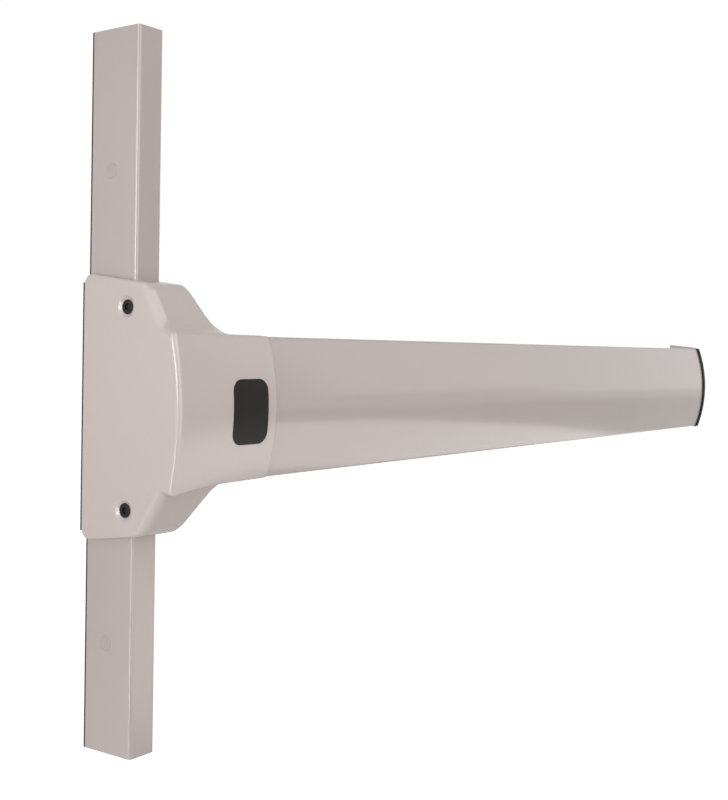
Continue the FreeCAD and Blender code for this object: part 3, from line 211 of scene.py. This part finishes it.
# By material slot: name, colour, metallic and roughness
FINISHES = {
    "case_paint": finish("satin_paint", (0.535, 0.462, 0.439), 0.08, 0.24,
                         grain=0.05, shade=0.02, rough_spread=0.015, specular=0.65),
    "cover_paint": finish("satin_cover_paint", (0.446, 0.385, 0.366), 0.2, 0.23,
                          grain=0.05, shade=0.015, rough_spread=0.02),
    "bar_paint": finish("satin_bar_paint", (0.49, 0.424, 0.402), 0.1, 0.14,
                        grain=0.02, shade=0.012, rough_spread=0.01),
    # Rubber strips at the door edges of the case and rod covers: their near-black is painted shade,
    # a dark line standing in for the shadowed gap between the covers and the door.
    "gasket_rubber": finish("gasket_rubber", (0.02, 0.019, 0.018), 0.0, 0.75,
                            grain=0.3, shade=0.15),
    "black_plastic": finish("black_plastic", (0.01, 0.008, 0.0075), 0.0, 0.5,
                            grain=0.25, shade=0.1, specular=0.12),
    "badge_plastic": finish("badge_plastic", (0.012, 0.0085, 0.0075), 0.0, 0.35,
                            shade=0.08, specular=0.14),
    "white_nylon": finish("white_nylon", (0.72, 0.7, 0.64), 0.0, 0.45, grain=0.2, shade=0.04),
    "black_screw": finish("black_oxide", (0.016, 0.013, 0.012), 0.05, 0.42,
                          grain=0.2, shade=0.15, specular=0.16),
    "grey_plug": finish("plug_paint", (0.425, 0.366, 0.348), 0.2, 0.34,
                        grain=0.05, shade=0.015, rough_spread=0.02),
    "zinc_plate": finish("zinc_plate", (0.62, 0.63, 0.64), 0.9, 0.38,
                         shade=0.12, rough_spread=0.1),
    "pressed_steel": finish("pressed_steel", (0.5, 0.49, 0.48), 0.95, 0.4, grain=0.2, shade=0.12),
    "turned_steel": finish("turned_steel", (0.6, 0.6, 0.6), 1.0, 0.22,
                           grain=0.15, shade=0.06, rough_spread=0.03),
    "zinc_screw": finish("zinc_screw", (0.62, 0.62, 0.6), 0.95, 0.34, shade=0.08),
    "spring_wire": finish("spring_wire", (0.32, 0.32, 0.34), 0.95, 0.35, shade=0.1),
}


# Piece makers

SHARP_ANGLE, BADGE_SHARP = 32.0, 50.0
# How close a run in metres, and a place or a plane in millimetres, have to be to count as the same
SAME_RUN, SAME_PLACE, SAME_PLANE = 1e-7, 0.01, 0.001
# Points of the spring closer than this, in millimetres, are joined
WELD = 0.002


def settle(bm, name, body, slot, stands_for=(), sharp=SHARP_ANGLE, closed=True):
    """Turns a finished bmesh into a piece that rides on its body, in place of some CAD nodes."""
    if closed:
        bmesh.ops.recalc_face_normals(bm, faces=bm.faces)
    mesh = bpy.data.meshes.new(name)
    bm.to_mesh(mesh)
    bm.free()
    mesh.shade_smooth()
    mesh.set_sharp_from_angle(angle=math.radians(sharp))
    mesh.materials.append(FINISHES[slot])
    piece = bpy.data.objects.new(name, mesh)
    bpy.context.scene.collection.objects.link(piece)
    weighted = piece.modifiers.new("even_shading", "WEIGHTED_NORMAL")
    weighted.keep_sharp = True
    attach(piece, body)
    if stands_for:
        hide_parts(*stands_for)
    return piece


def bevel(bm, edges, width, segments):
    bmesh.ops.bevel(
        bm, geom=edges, offset=width * MM, offset_type="OFFSET", segments=segments, profile=0.5,
        affect="EDGES", material=-1, clamp_overlap=True,
    )


def drawn(points, start, end, along="x"):
    """A solid drawn from an outline: (depth, z) drawn along x, or (x, depth) drawn along z."""
    bm = bmesh.new()
    if along == "x":
        ring = [bm.verts.new(at(start, depth, z)) for depth, z in points]
        step = Vector(((end - start) * MM, 0, 0))
    else:
        ring = [bm.verts.new(at(x, depth, start)) for x, depth in points]
        step = Vector((0, 0, (end - start) * MM))
    face = bm.faces.new(ring)
    made = bmesh.ops.extrude_face_region(bm, geom=[face])
    moved = [v for v in made["geom"] if isinstance(v, bmesh.types.BMVert)]
    bmesh.ops.translate(bm, verts=moved, vec=step)
    bmesh.ops.recalc_face_normals(bm, faces=bm.faces)
    return bm


def corners(bm, axis, half, depth):
    """Edges along x (axis 0) or z (axis 2), to both sides of the middle and at a depth."""
    across = 2 - axis
    found = []
    for edge in bm.edges:
        run = edge.verts[1].co - edge.verts[0].co
        middle = (edge.verts[0].co + edge.verts[1].co) / 2 / MM
        if max(abs(run.y), abs(run[across])) >= SAME_RUN:
            continue
        if max(abs(-middle.y - depth), abs(abs(middle[across]) - half)) < SAME_PLACE:
            found.append(edge)
    return found


def crosswise(bm, place):
    """Edges that lie in the plane at a place along x."""
    return [e for e in bm.edges if all(abs(v.co.x / MM - place) < SAME_PLANE for v in e.verts)]


def arc_radius(half, bulge):
    """Radius of an arc from its half width and its height."""
    return (half ** 2 + bulge ** 2) / (2 * bulge)


def front_arc(half, edge):
    """Points of the bulging front, from the lower edge to the upper one."""
    radius = arc_radius(half, BAR_BULGE)
    centre = edge + BAR_BULGE - radius
    limit = math.asin(half / radius)
    angles = [limit * (2 * i / FRONT_STEPS - 1) for i in range(FRONT_STEPS + 1)]
    return [(centre + radius * math.cos(a), radius * math.sin(a)) for a in angles]


# Case cover: sections across the bar, joined into one shell

def soft_min(a, b, reach):
    """The smaller value, rounded off where the two are closer than the reach."""
    near = max(reach - abs(a - b), 0.0) / reach
    return min(a, b) - near * near * reach / 4


def ease(share):
    return share * share * (3 - 2 * share)


def flare_line(x, side):
    """Height of a flare's slanted side with its round foot."""
    foot, foot_round = FLARES[side].foot, FLARES[side].foot_round
    slope = 1 / FLARE_LEAN
    half_turn = math.atan(slope) / 2
    tangent = foot_round * math.tan(half_turn)
    if x <= foot - tangent * math.cos(2 * half_turn):
        return BAR_HALF + slope * (foot - x)
    if x >= foot + tangent:
        return BAR_HALF
    run = foot + tangent - x
    return BAR_HALF + foot_round - math.sqrt(foot_round ** 2 - run ** 2)


def flare_height(x, depth, top_in, front_in, side):
    """Height of a flare off the bar's middle at a depth, with its top and front set in."""
    flare = FLARES[side]
    crest = CASE_TOP - CASE_DRAFT
    slope = (crest - BAR_HALF - flare.drop) / (flare.slope_end - flare.slope_start)
    top = CASE_TOP - top_in - CASE_DRAFT * (depth - CASE_BACK) / (DRAFT_DEPTH - CASE_BACK)
    front = crest - slope * (depth - flare.slope_start + front_in * SLOPE_SET_IN)
    height = soft_min(top, front, CREST_REACH)
    inset = BACK_ROUND - (depth - CASE_BACK)
    if inset > 0:
        height -= BACK_ROUND - math.sqrt(max(BACK_ROUND ** 2 - inset ** 2, 0.0))
    return soft_min(height, flare_line(x, side), SIDE_REACH)


def case_section(x, top_in=0.0, front_in=0.0, bar_in=0.0, side=1):
    """One half of the case's section, from the door over the flare to the front's middle."""
    left = (CASE_END - x) / (CASE_END - CASE_LEFT)
    taper = max(x - SEAM_TAPER_START, 0.0) / (CASE_END - SEAM_TAPER_START)
    half = BAR_HALF - bar_in - SEAM_TAPER * taper
    ledge_share = 0.0
    if side > 0:
        rise = (flare_line(x, side) - BAR_HALF) / LEDGE_FADE
        ledge_share = ease(min(max(rise, 0.0), 1.0))
    else:
        half += LOWER_DROP * max(LOWER_DROP_START - x, 0.0) / (LOWER_DROP_START - CASE_LEFT)
    edge = BAR_EDGE + FULLER_EDGE * left - bar_in * EDGE_SET_IN
    bulge = BAR_BULGE + (FULLER_OUT - FULLER_EDGE) * left - bar_in * BULGE_SET_IN
    radius = arc_radius(half, bulge)
    tilt = LEDGE_TILT * ledge_share
    lean, upright = math.atan(tilt), math.asin(half / radius)
    turn = math.pi / 2 - lean - upright
    rounding = EDGE_ROUND + LEDGE_ROUND * ledge_share
    tangent = rounding * math.tan(turn / 2)
    begin = (edge - tangent * math.cos(lean), half + tangent * math.sin(lean))
    centre = (begin[0] - rounding * math.sin(lean), begin[1] - rounding * math.cos(lean))
    limit = begin[0] - EDGE_GAP
    reach = BLEND_REACH + LEDGE_REACH * ledge_share
    points = []
    for depth in DEPTHS:
        if depth > FIXED_DEPTH:
            share = (depth - FIXED_DEPTH) / (DEPTHS[-1] - FIXED_DEPTH)
            depth = FIXED_DEPTH + share * (limit - FIXED_DEPTH)
        flare = flare_height(x, depth, top_in, front_in, side)
        ledge = half + tilt * min(edge - depth, LEDGE_LENGTH)
        points.append((depth, -soft_min(-flare, -ledge, reach)))
    for i in range(EDGE_STEPS + 1):
        angle = math.pi / 2 - lean - turn * i / EDGE_STEPS
        points.append((
            centre[0] + rounding * math.cos(angle), centre[1] + rounding * math.sin(angle),
        ))
    top = points[-1][1]
    for i in range(1, HALF_FRONT_STEPS):
        z = top * (1 - i / HALF_FRONT_STEPS)
        points.append((edge + bulge - radius + math.sqrt(radius ** 2 - z ** 2), z))
    return points


def whole_section(x, top_in=0.0, front_in=0.0, bar_in=0.0):
    """The whole section, from the upper door edge to the lower one."""
    upper = case_section(x, top_in, front_in, bar_in)
    lower = case_section(x, top_in, front_in, bar_in, side=-1)
    out = CASE_OUT + FULLER_OUT * (CASE_END - x) / (CASE_END - CASE_LEFT) - bar_in
    return upper + [(out, 0.0)] + [(depth, -z) for depth, z in reversed(lower)]


def rim_radius(index, count):
    """Roundness of the left wall's edge at a point of the section."""
    steps = (count - 1) / 2 - abs(index - (count - 1) / 2)
    top_end, front_start, front_end, bar_start = (DEPTHS.index(depth) for depth in RIM_DEPTHS)
    if steps <= top_end:
        return RIM_TOP
    if steps < front_start:
        share = (steps - top_end) / (front_start - top_end)
        return RIM_TOP + (RIM_FRONT - RIM_TOP) * ease(share)
    if steps <= front_end:
        return RIM_FRONT
    if steps < bar_start:
        share = (steps - front_end) / (bar_start - front_end)
        return RIM_FRONT + (RIM_BAR - RIM_FRONT) * ease(share)
    return RIM_BAR


def case_loops():
    """Sections of the case from the left wall's edge to the seam."""
    loops = []
    for turn in range(0, 91, 10):
        inset, run = 1 - math.sin(math.radians(turn)), 1 - math.cos(math.radians(turn))
        section = whole_section(CASE_LEFT, RIM_TOP * inset, RIM_FRONT * inset, RIM_BAR * inset)
        loops.append([
            (CASE_LEFT + rim_radius(i, len(section)) * run, depth, z)
            for i, (depth, z) in enumerate(section)
        ])
    for x in STATIONS:
        loops.append([(x, depth, z) for depth, z in whole_section(x)])
    for turn in (30, 60, 90):
        inset = END_ROUND * (1 - math.cos(math.radians(turn)))
        x = CASE_END - END_ROUND * (1 - math.sin(math.radians(turn)))
        loops.append([(x, depth, z) for depth, z in whole_section(x, inset, inset, inset)])
    return loops


def ring_of(bm, middle, radius):
    """A circle of vertices across the x axis, from its top round by the door side."""
    made = bmesh.ops.create_circle(
        bm, cap_ends=False, segments=RING_STEPS, radius=radius * MM,
        matrix=Matrix.Translation(middle) @ Matrix.Rotation(math.pi / 2, 4, "Y"),
    )

    def turn(vert):
        out = vert.co - middle
        return round(math.atan2(out.y, out.z) % math.tau, 4)

    return sorted(made["verts"], key=turn)


def grow_ring(bm, edges, middle, steps):
    """Extrudes a ring of edges through a list of (radius, x) steps."""
    for radius, x in steps:
        made = bmesh.ops.extrude_edge_only(bm, edges=edges)["geom"]
        verts = {g for g in made if isinstance(g, bmesh.types.BMVert)}
        edges = [g for g in made if isinstance(g, bmesh.types.BMEdge) and set(g.verts) <= verts]
        for vert in verts:
            out = vert.co - middle
            out.x = 0
            vert.co = middle + out.normalized() * radius * MM + Vector((x * MM, 0, 0))


def left_wall(bm, rim):
    """Closes the left wall inside its rim, in four faces round the two dimples."""
    foot = bm.verts.new(at(CASE_LEFT, CASE_BACK, 0))
    waist = bm.verts.new(at(CASE_LEFT, SCREW_DEPTH, 0))
    middle = len(rim) // 2
    above = DEPTHS.index(SCREW_DEPTH)
    for side, outline in ((1, rim[:middle + 1]), (-1, rim[:middle - 1:-1])):
        centre = at(CASE_LEFT, SCREW_DEPTH, side * SCREW_HEIGHT)
        ring = ring_of(bm, centre, DIMPLE[0][0])
        half = len(ring) // 2
        door_side, room_side = ring[:half + 1], ring[half:] + ring[:1]
        if side < 0:
            door_side, room_side = door_side[::-1], room_side[::-1]
        bm.faces.new([foot] + outline[:above + 1] + door_side + [waist])
        bm.faces.new(outline[above:] + [waist] + room_side)
        grow_ring(bm, [e for e in bm.edges if set(e.verts) <= set(ring)], centre, DIMPLE[1:])


def case_shell():
    bm = bmesh.new()
    rows = [[bm.verts.new(at(*point)) for point in loop] for loop in case_loops()]
    for pair_of_rows in zip(rows, rows[1:]):
        loops = []
        for row in pair_of_rows:
            loops += [bm.edges.get(pair) or bm.edges.new(pair) for pair in zip(row, row[1:])]
        bmesh.ops.bridge_loops(bm, edges=loops)
    left_wall(bm, rows[0])
    bmesh.ops.recalc_face_normals(bm, faces=bm.faces)
    # The walls grow inwards from faces that look outwards
    wall = [f for f in bm.faces if f.calc_center_median().x < (CASE_LEFT + 0.1) * MM]
    if sum(f.normal.x * f.calc_area() for f in wall) > 0:
        bmesh.ops.reverse_faces(bm, faces=bm.faces)
    shell = bm.faces[:] + bm.edges[:] + bm.verts[:]
    bmesh.ops.solidify(bm, geom=shell, thickness=CASE_WALL * MM)
    settle(bm, "case_shell", "chassis", "case_paint", ["case_cover"], closed=False)


# Touch bar and the pieces at its ends

def bar_profile():
    """Section of the hollow bar with its in-turned lips and mounting track, drawn once round."""
    inner_half, inner_edge = SKIN_HALF - BAR_WALL, SKIN_EDGE - BAR_WALL
    mouth = SKIN_HALF - LIP_REACH
    radius = arc_radius(inner_half, BAR_BULGE)

    def ceiling(z):
        return inner_edge + BAR_BULGE - radius + math.sqrt(radius ** 2 - z ** 2)

    track = [
        (ceiling(TRACK_HALF), TRACK_HALF), (TRACK_BACK, TRACK_HALF), (TRACK_BACK, TRACK_MOUTH),
        (TRACK_FRONT, TRACK_MOUTH), (TRACK_FRONT, TRACK_INNER), (ceiling(TRACK_INNER), TRACK_INNER),
    ]
    down = front_arc(inner_half, inner_edge)[::-1]
    points = [(LIP_BACK, -mouth), (LIP_BACK, -SKIN_HALF)]
    points += front_arc(SKIN_HALF, SKIN_EDGE)
    points += [(LIP_BACK, SKIN_HALF), (LIP_BACK, mouth)]
    points += [(LIP_FRONT, mouth), (LIP_FRONT, inner_half)]
    points += [p for p in down if p[1] > TRACK_HALF + TRACK_MARGIN]
    points += track
    points += [p for p in down if abs(p[1]) < TRACK_INNER - TRACK_MARGIN]
    points += [(depth, -z) for depth, z in reversed(track)]
    points += [p for p in down if p[1] < -TRACK_HALF - TRACK_MARGIN]
    points += [(LIP_FRONT, -inner_half), (LIP_FRONT, -mouth)]
    return points


def on_skin(vert):
    """Whether a vertex of the bar lies on its outer sides or front."""
    depth, z = -vert.co.y / MM, vert.co.z / MM
    front = SKIN_EDGE + BAR_BULGE * (1 - (z / SKIN_HALF) ** 2)
    return abs(z) > SKIN_HALF - SIDE_BAND or depth > front - FRONT_BAND


def touch_bar():
    bm = drawn(bar_profile(), BAR_START, BAR_END)
    bevel(bm, corners(bm, 0, SKIN_HALF, SKIN_EDGE), *BAR_CORNER)
    bevel(bm, corners(bm, 0, SKIN_HALF, LIP_BACK), *BAR_LIP_EDGE)
    for place in (BAR_START, BAR_END):
        rim = [e for e in crosswise(bm, place) if all(on_skin(v) for v in e.verts)]
        bevel(bm, rim, *BAR_RIM)
    settle(bm, "touch_bar_skin", "push_bar", "bar_paint", ["touch_bar"])


def end_cap():
    half, edge = SKIN_HALF + CAP_LIP, SKIN_EDGE + CAP_FRONT_LIP
    points = [(CAP_BACK, -half)] + front_arc(half, edge) + [(CAP_BACK, half)]
    bm = drawn(points, BAR_END, BAR_END + CAP_THICK)
    bevel(bm, corners(bm, 0, half, edge), *CAP_CORNER)
    bevel(bm, corners(bm, 0, half, CAP_BACK), *CAP_BACK_EDGE)
    bevel(bm, crosswise(bm, BAR_END + CAP_THICK), *CAP_FACE_EDGE)
    bevel(bm, crosswise(bm, BAR_END), *CAP_SEAT_EDGE)
    settle(bm, "end_cap_plate", "push_bar", "black_plastic", ["end_cap"])


def cap_tongues():
    """Tongues that hold the end cap inside the bar."""
    for name, side in (("upper_cap_tongue", 1), ("lower_cap_tongue", -1)):
        low, high = sorted((side * TONGUE_LOW, side * TONGUE_HIGH))
        outline = [
            (TONGUE_BACK, low), (TONGUE_FRONT, low), (TONGUE_FRONT, high), (TONGUE_BACK, high),
        ]
        bm = drawn(outline, BAR_END - TONGUE_REACH, BAR_END + TONGUE_ROOT)
        bevel(bm, crosswise(bm, BAR_END - TONGUE_REACH), *TONGUE_TIP)
        settle(bm, name, "push_bar", "black_plastic")


def latch_tab():
    """Small painted tab on the bar's upper edge, just before the end cap."""
    foot = SKIN_HALF + TAB_LIFT
    outline = [
        (TAB_BACK, foot), (TAB_FRONT, foot),
        (TAB_FRONT, foot + TAB_FRONT_RISE), (TAB_BACK, foot + TAB_BACK_RISE),
    ]
    bm = drawn(outline, BAR_END - TAB_REACH, BAR_END - TAB_GAP)
    middle = foot + TAB_FRONT_RISE / 2
    raised = [e for e in bm.edges if all(v.co.z > middle * MM for v in e.verts)]
    bevel(bm, raised, *TAB_EDGE)
    settle(bm, "end_tab", "push_bar", "bar_paint", ["end_cap_latch"])


# Rod covers and their plugs

def rod_cover(name, node_name, start, end):
    """A channel over a rod, open to the door."""
    inner, ceiling = COVER_HALF - COVER_WALL, COVER_FRONT - COVER_WALL
    outline = [
        (-COVER_HALF, COVER_BACK), (-COVER_HALF, COVER_FRONT), (COVER_HALF, COVER_FRONT),
        (COVER_HALF, COVER_BACK), (inner, COVER_BACK), (inner, ceiling), (-inner, ceiling),
        (-inner, COVER_BACK),
    ]
    bm = drawn(outline, start, end, "z")
    bevel(bm, corners(bm, 2, COVER_HALF, COVER_FRONT), *COVER_CORNER)
    bevel(bm, corners(bm, 2, inner, ceiling), *COVER_INNER_CORNER)
    settle(bm, name, "chassis", "cover_paint", [node_name])


def plug_heads():
    """Low painted plugs on the left faces of the rod covers."""
    bm = bmesh.new()
    for side in (1, -1):
        middle = at(PLUG_MIDDLE, PLUG_DEPTH, side * PLUG_HEIGHT)
        bmesh.ops.create_cone(
            bm, cap_ends=True, segments=40, radius1=PLUG_RADIUS * MM, radius2=PLUG_RADIUS * MM,
            depth=PLUG_LENGTH * MM,
            matrix=Matrix.Translation(middle) @ Matrix.Rotation(math.pi / 2, 4, "Y"),
        )
    bevel(bm, crosswise(bm, PLUG_MIDDLE - PLUG_LENGTH / 2), *PLUG_EDGE)
    settle(bm, "plug_heads", "chassis", "grey_plug", ["cover_plugs"])


# Return spring

def spring_coil():
    """The return spring. The real one shortens against its anchor as the link slides; this piece is
    the CAD coil as it is, with its doubled points joined.
    """
    bm = bmesh.new()
    bm.from_mesh(frame["nodes"]["return_spring"].data)
    bmesh.ops.remove_doubles(bm, verts=bm.verts, dist=WELD * MM)
    piece = settle(bm, "spring_coil", "chassis", "spring_wire", ["return_spring"])
    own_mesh(piece)


# Badge

def badge():
    """A blank plate with round corners, bent to the case's front."""
    bm = bmesh.new()
    bmesh.ops.create_grid(bm, x_segments=1, y_segments=1, size=0.5)
    for vert in bm.verts:
        x, z = BADGE_X + vert.co.x * BADGE_WIDTH, BADGE_Z + vert.co.y * BADGE_HEIGHT
        vert.co = Vector((x, 0, z)) * MM
    bmesh.ops.bevel(
        bm, geom=bm.verts[:], offset=BADGE_CORNER * MM, offset_type="OFFSET", segments=10,
        profile=0.5, affect="VERTICES", material=-1,
    )
    for i in range(1, BADGE_SLICES):
        z = BADGE_Z - BADGE_HEIGHT / 2 + BADGE_HEIGHT * i / BADGE_SLICES
        bmesh.ops.bisect_plane(
            bm, geom=bm.verts[:] + bm.edges[:] + bm.faces[:], plane_co=Vector((0, 0, z * MM)),
            plane_no=Vector((0, 0, 1)),
        )
    made = bmesh.ops.extrude_face_region(bm, geom=bm.faces[:])
    fronts = [v for v in made["geom"] if isinstance(v, bmesh.types.BMVert)]
    bmesh.ops.translate(bm, verts=fronts, vec=Vector((0, -BADGE_THICK * MM, 0)))
    bmesh.ops.recalc_face_normals(bm, faces=bm.faces)
    rim = [
        e for e in bm.edges
        if e.calc_face_angle(0) > 1.0 and all(v.co.y < -BADGE_THICK / 2 * MM for v in e.verts)
    ]
    bevel(bm, rim, *BADGE_EDGE)
    radius = arc_radius(BAR_HALF, BAR_BULGE)
    for vert in bm.verts:
        z = vert.co.z / MM
        front = CASE_OUT - radius + math.sqrt(radius ** 2 - z ** 2)
        vert.co.y -= (front - BADGE_SUNK) * MM
    settle(bm, "badge_plate", "chassis", "badge_plastic", ["badge"], BADGE_SHARP)


def build():
    case_shell()
    touch_bar()
    end_cap()
    cap_tongues()
    latch_tab()
    rod_cover("upper_cover", "upper_rod_cover", COVER_START, UPPER_COVER_END)
    rod_cover("lower_cover", "lower_rod_cover", LOWER_COVER_END, -COVER_START)
    badge()
    plug_heads()
    spring_coil()


def dress_nodes():
    """The hidden works keep their own meshes and get their finishes."""
    slots = {entry["node"]: entry["material_slot"] for entry in frame["record"]["subparts"]}
    for name, thing in frame["nodes"].items():
        thing.data.materials.clear()
        thing.data.materials.append(FINISHES[slots[name]])


# Stage, light and camera, in metres

FLOOR_SIZE, FLOOR_LEVEL, FLOOR_X = 12.0, -1.0, 0.4
# The floor is brought up to the backdrop's white: little under the bar, so that its shadow
# shows, and more from NEAR to FAR
FILL_NEAR, FILL_FAR, FILL_IN_GLOSS = 0.45, 0.85, 0.5
NEAR, FAR = 0.7, 1.7
ROOM_LIGHT = 0.22

# Soft boxes: name, place, aim, width and height, and brightness against the backdrop's white
LIGHTS = [
    ("side_box", (-2.2, -0.4, 0.28), (0, 0, 0), (0.6, 0.6), 9.6),
    ("side_low_box", (-2.2, -0.4, -0.62), (0, 0, -0.1), (0.4, 0.6), 8.5),
    ("side_back_box", (-1.6, 0.9, -0.2), (0, 0, 0), (1.2, 1.8), 0.8),
    ("side_top_box", (-1.8, -0.5, 1.3), (0, 0, 0), (2.2, 1.8), 0.95),
    ("front_top_box", (0.2, -1.6, 1.4), (0.2, 0, 0), (2.2, 1.4), 1.3),
    ("near_box", (-0.27, -0.95, 0.05), (0.05, 0, 0), (0.5, 0.9), 1.6),
    ("far_window", (2.85, -0.8, 0.54), (0.5, 0, 0.54), (0.9, 1.2), 0.38),
    ("near_window", (2.425, -1.45, 0.66), (0.3, 0, 0.66), (0.65, 1.2), 0.46),
    ("low_table", (1.23, -1.25, -0.45), (1.23, -1.25, 0), (1.8, 1.8), 1.2),
]
TABLE_TURN = 27  # degrees

# The photograph's camera: place in the row frame, turns in radians, lens and sensor in millimetres
CAMERA_PLACE = Vector((-508.91, -559.59, 36.29)) * MM
CAMERA_YAW, CAMERA_PITCH, CAMERA_ROLL = 0.9536, -0.0077, 0.0153
CAMERA_LENS, CAMERA_SENSOR, CAMERA_SHIFT = 54.0, 36.0, -0.05


def combine(tree, operation, first, second):
    """Two values put together by a maths node. The second may be a constant."""
    made = add_node(tree, "ShaderNodeMath", operation=operation)
    tree.links.new(first, made.inputs[0])
    if isinstance(second, float):
        made.inputs[1].default_value = second
    else:
        tree.links.new(second, made.inputs[1])
    return made.outputs["Value"]


def shown_rays(tree):
    """Rays from the camera, and mirrored or transmitted rays, which see the same backdrop."""
    rays = add_node(tree, "ShaderNodeLightPath").outputs
    seen_in = combine(tree, "MAXIMUM", rays["Is Glossy Ray"], rays["Is Transmission Ray"])
    return rays["Is Camera Ray"], seen_in


def make_floor():
    """A pale floor a metre below the bar."""
    middle = (FLOOR_X, 0, FLOOR_LEVEL)
    bm = bmesh.new()
    bmesh.ops.create_grid(bm, x_segments=1, y_segments=1, size=FLOOR_SIZE)
    bmesh.ops.translate(bm, verts=bm.verts, vec=Vector(middle))
    mesh = bpy.data.meshes.new("floor")
    bm.to_mesh(mesh)
    bm.free()
    material = bpy.data.materials.new("floor_paper")
    material.use_nodes = True
    tree = material.node_tree
    paper = tree.nodes["Principled BSDF"]
    paper.inputs["Base Color"].default_value = (0.8, 0.8, 0.8, 1)
    paper.inputs["Roughness"].default_value = 0.9
    paper.inputs["Specular IOR Level"].default_value = 0.1
    paper.inputs["Emission Color"].default_value = (1, 1, 1, 1)
    place = add_node(tree, "ShaderNodeTexCoord")
    reach = add_node(tree, "ShaderNodeVectorMath", [(1, middle)], "DISTANCE")
    tree.links.new(place.outputs["Object"], reach.inputs[0])
    spread = add_node(tree, "ShaderNodeMapRange", [
        ("From Min", NEAR), ("From Max", FAR), ("To Min", FILL_NEAR), ("To Max", FILL_FAR),
    ])
    spread.interpolation_type = "SMOOTHSTEP"
    tree.links.new(reach.outputs["Value"], spread.inputs["Value"])
    camera, gloss = shown_rays(tree)
    for_camera = combine(tree, "MULTIPLY", camera, spread.outputs["Result"])
    for_gloss = combine(tree, "MULTIPLY", gloss, FILL_IN_GLOSS)
    fill = combine(tree, "MAXIMUM", for_camera, for_gloss)
    tree.links.new(fill, paper.inputs["Emission Strength"])
    mesh.materials.append(material)
    floor = bpy.data.objects.new("floor", mesh)
    bpy.context.scene.collection.objects.link(floor)


def make_world():
    """Soft room light, seen as white by the camera and in gloss."""
    world = bpy.data.worlds.new("studio")
    bpy.context.scene.world = world
    world.use_nodes = True
    tree = world.node_tree
    tree.nodes.clear()
    output = add_node(tree, "ShaderNodeOutputWorld")
    room = add_node(tree, "ShaderNodeBackground", [("Color", (1, 1, 1, 1))])
    level = add_node(tree, "ShaderNodeMapRange", [("To Min", ROOM_LIGHT), ("To Max", 1.0)])
    tree.links.new(combine(tree, "MAXIMUM", *shown_rays(tree)), level.inputs["Value"])
    tree.links.new(level.outputs["Result"], room.inputs["Strength"])
    tree.links.new(room.outputs["Background"], output.inputs["Surface"])


def add_light(name, place, aim, size, glow):
    lamp = bpy.data.lights.new(name, "AREA")
    lamp.shape = "RECTANGLE"
    lamp.size, lamp.size_y = size
    lamp.energy = glow * math.pi * size[0] * size[1]
    thing = bpy.data.objects.new(name, lamp)
    thing.location = place
    thing.rotation_euler = (Vector(aim) - Vector(place)).to_track_quat("-Z", "Y").to_euler()
    thing.visible_camera = False
    bpy.context.scene.collection.objects.link(thing)
    return thing


def make_lights():
    lights = {row[0]: add_light(*row) for row in LIGHTS}
    # The low table lies flat, facing up, and is turned about the upright
    lights["low_table"].rotation_euler = (math.pi, 0, math.radians(TABLE_TURN))


def make_camera():
    ahead = Vector((
        math.sin(CAMERA_YAW) * math.cos(CAMERA_PITCH),
        math.cos(CAMERA_YAW) * math.cos(CAMERA_PITCH),
        math.sin(CAMERA_PITCH),
    ))
    across = Vector((math.cos(CAMERA_YAW), -math.sin(CAMERA_YAW), 0))
    up = across.cross(ahead)
    right = math.cos(CAMERA_ROLL) * across + math.sin(CAMERA_ROLL) * up
    top = -math.sin(CAMERA_ROLL) * across + math.cos(CAMERA_ROLL) * up
    lens = bpy.data.cameras.new("camera")
    lens.lens = CAMERA_LENS
    lens.sensor_width = CAMERA_SENSOR
    lens.shift_y = CAMERA_SHIFT
    camera = bpy.data.objects.new("camera", lens)
    turn = Matrix((right, top, -ahead)).transposed().to_4x4()
    camera.matrix_world = Matrix.Translation(CAMERA_PLACE) @ turn
    bpy.context.scene.collection.objects.link(camera)
    bpy.context.scene.camera = camera


build()
dress_nodes()
make_floor()
make_world()
make_lights()
make_camera()
bpy.context.scene.view_settings.view_transform = "Standard"
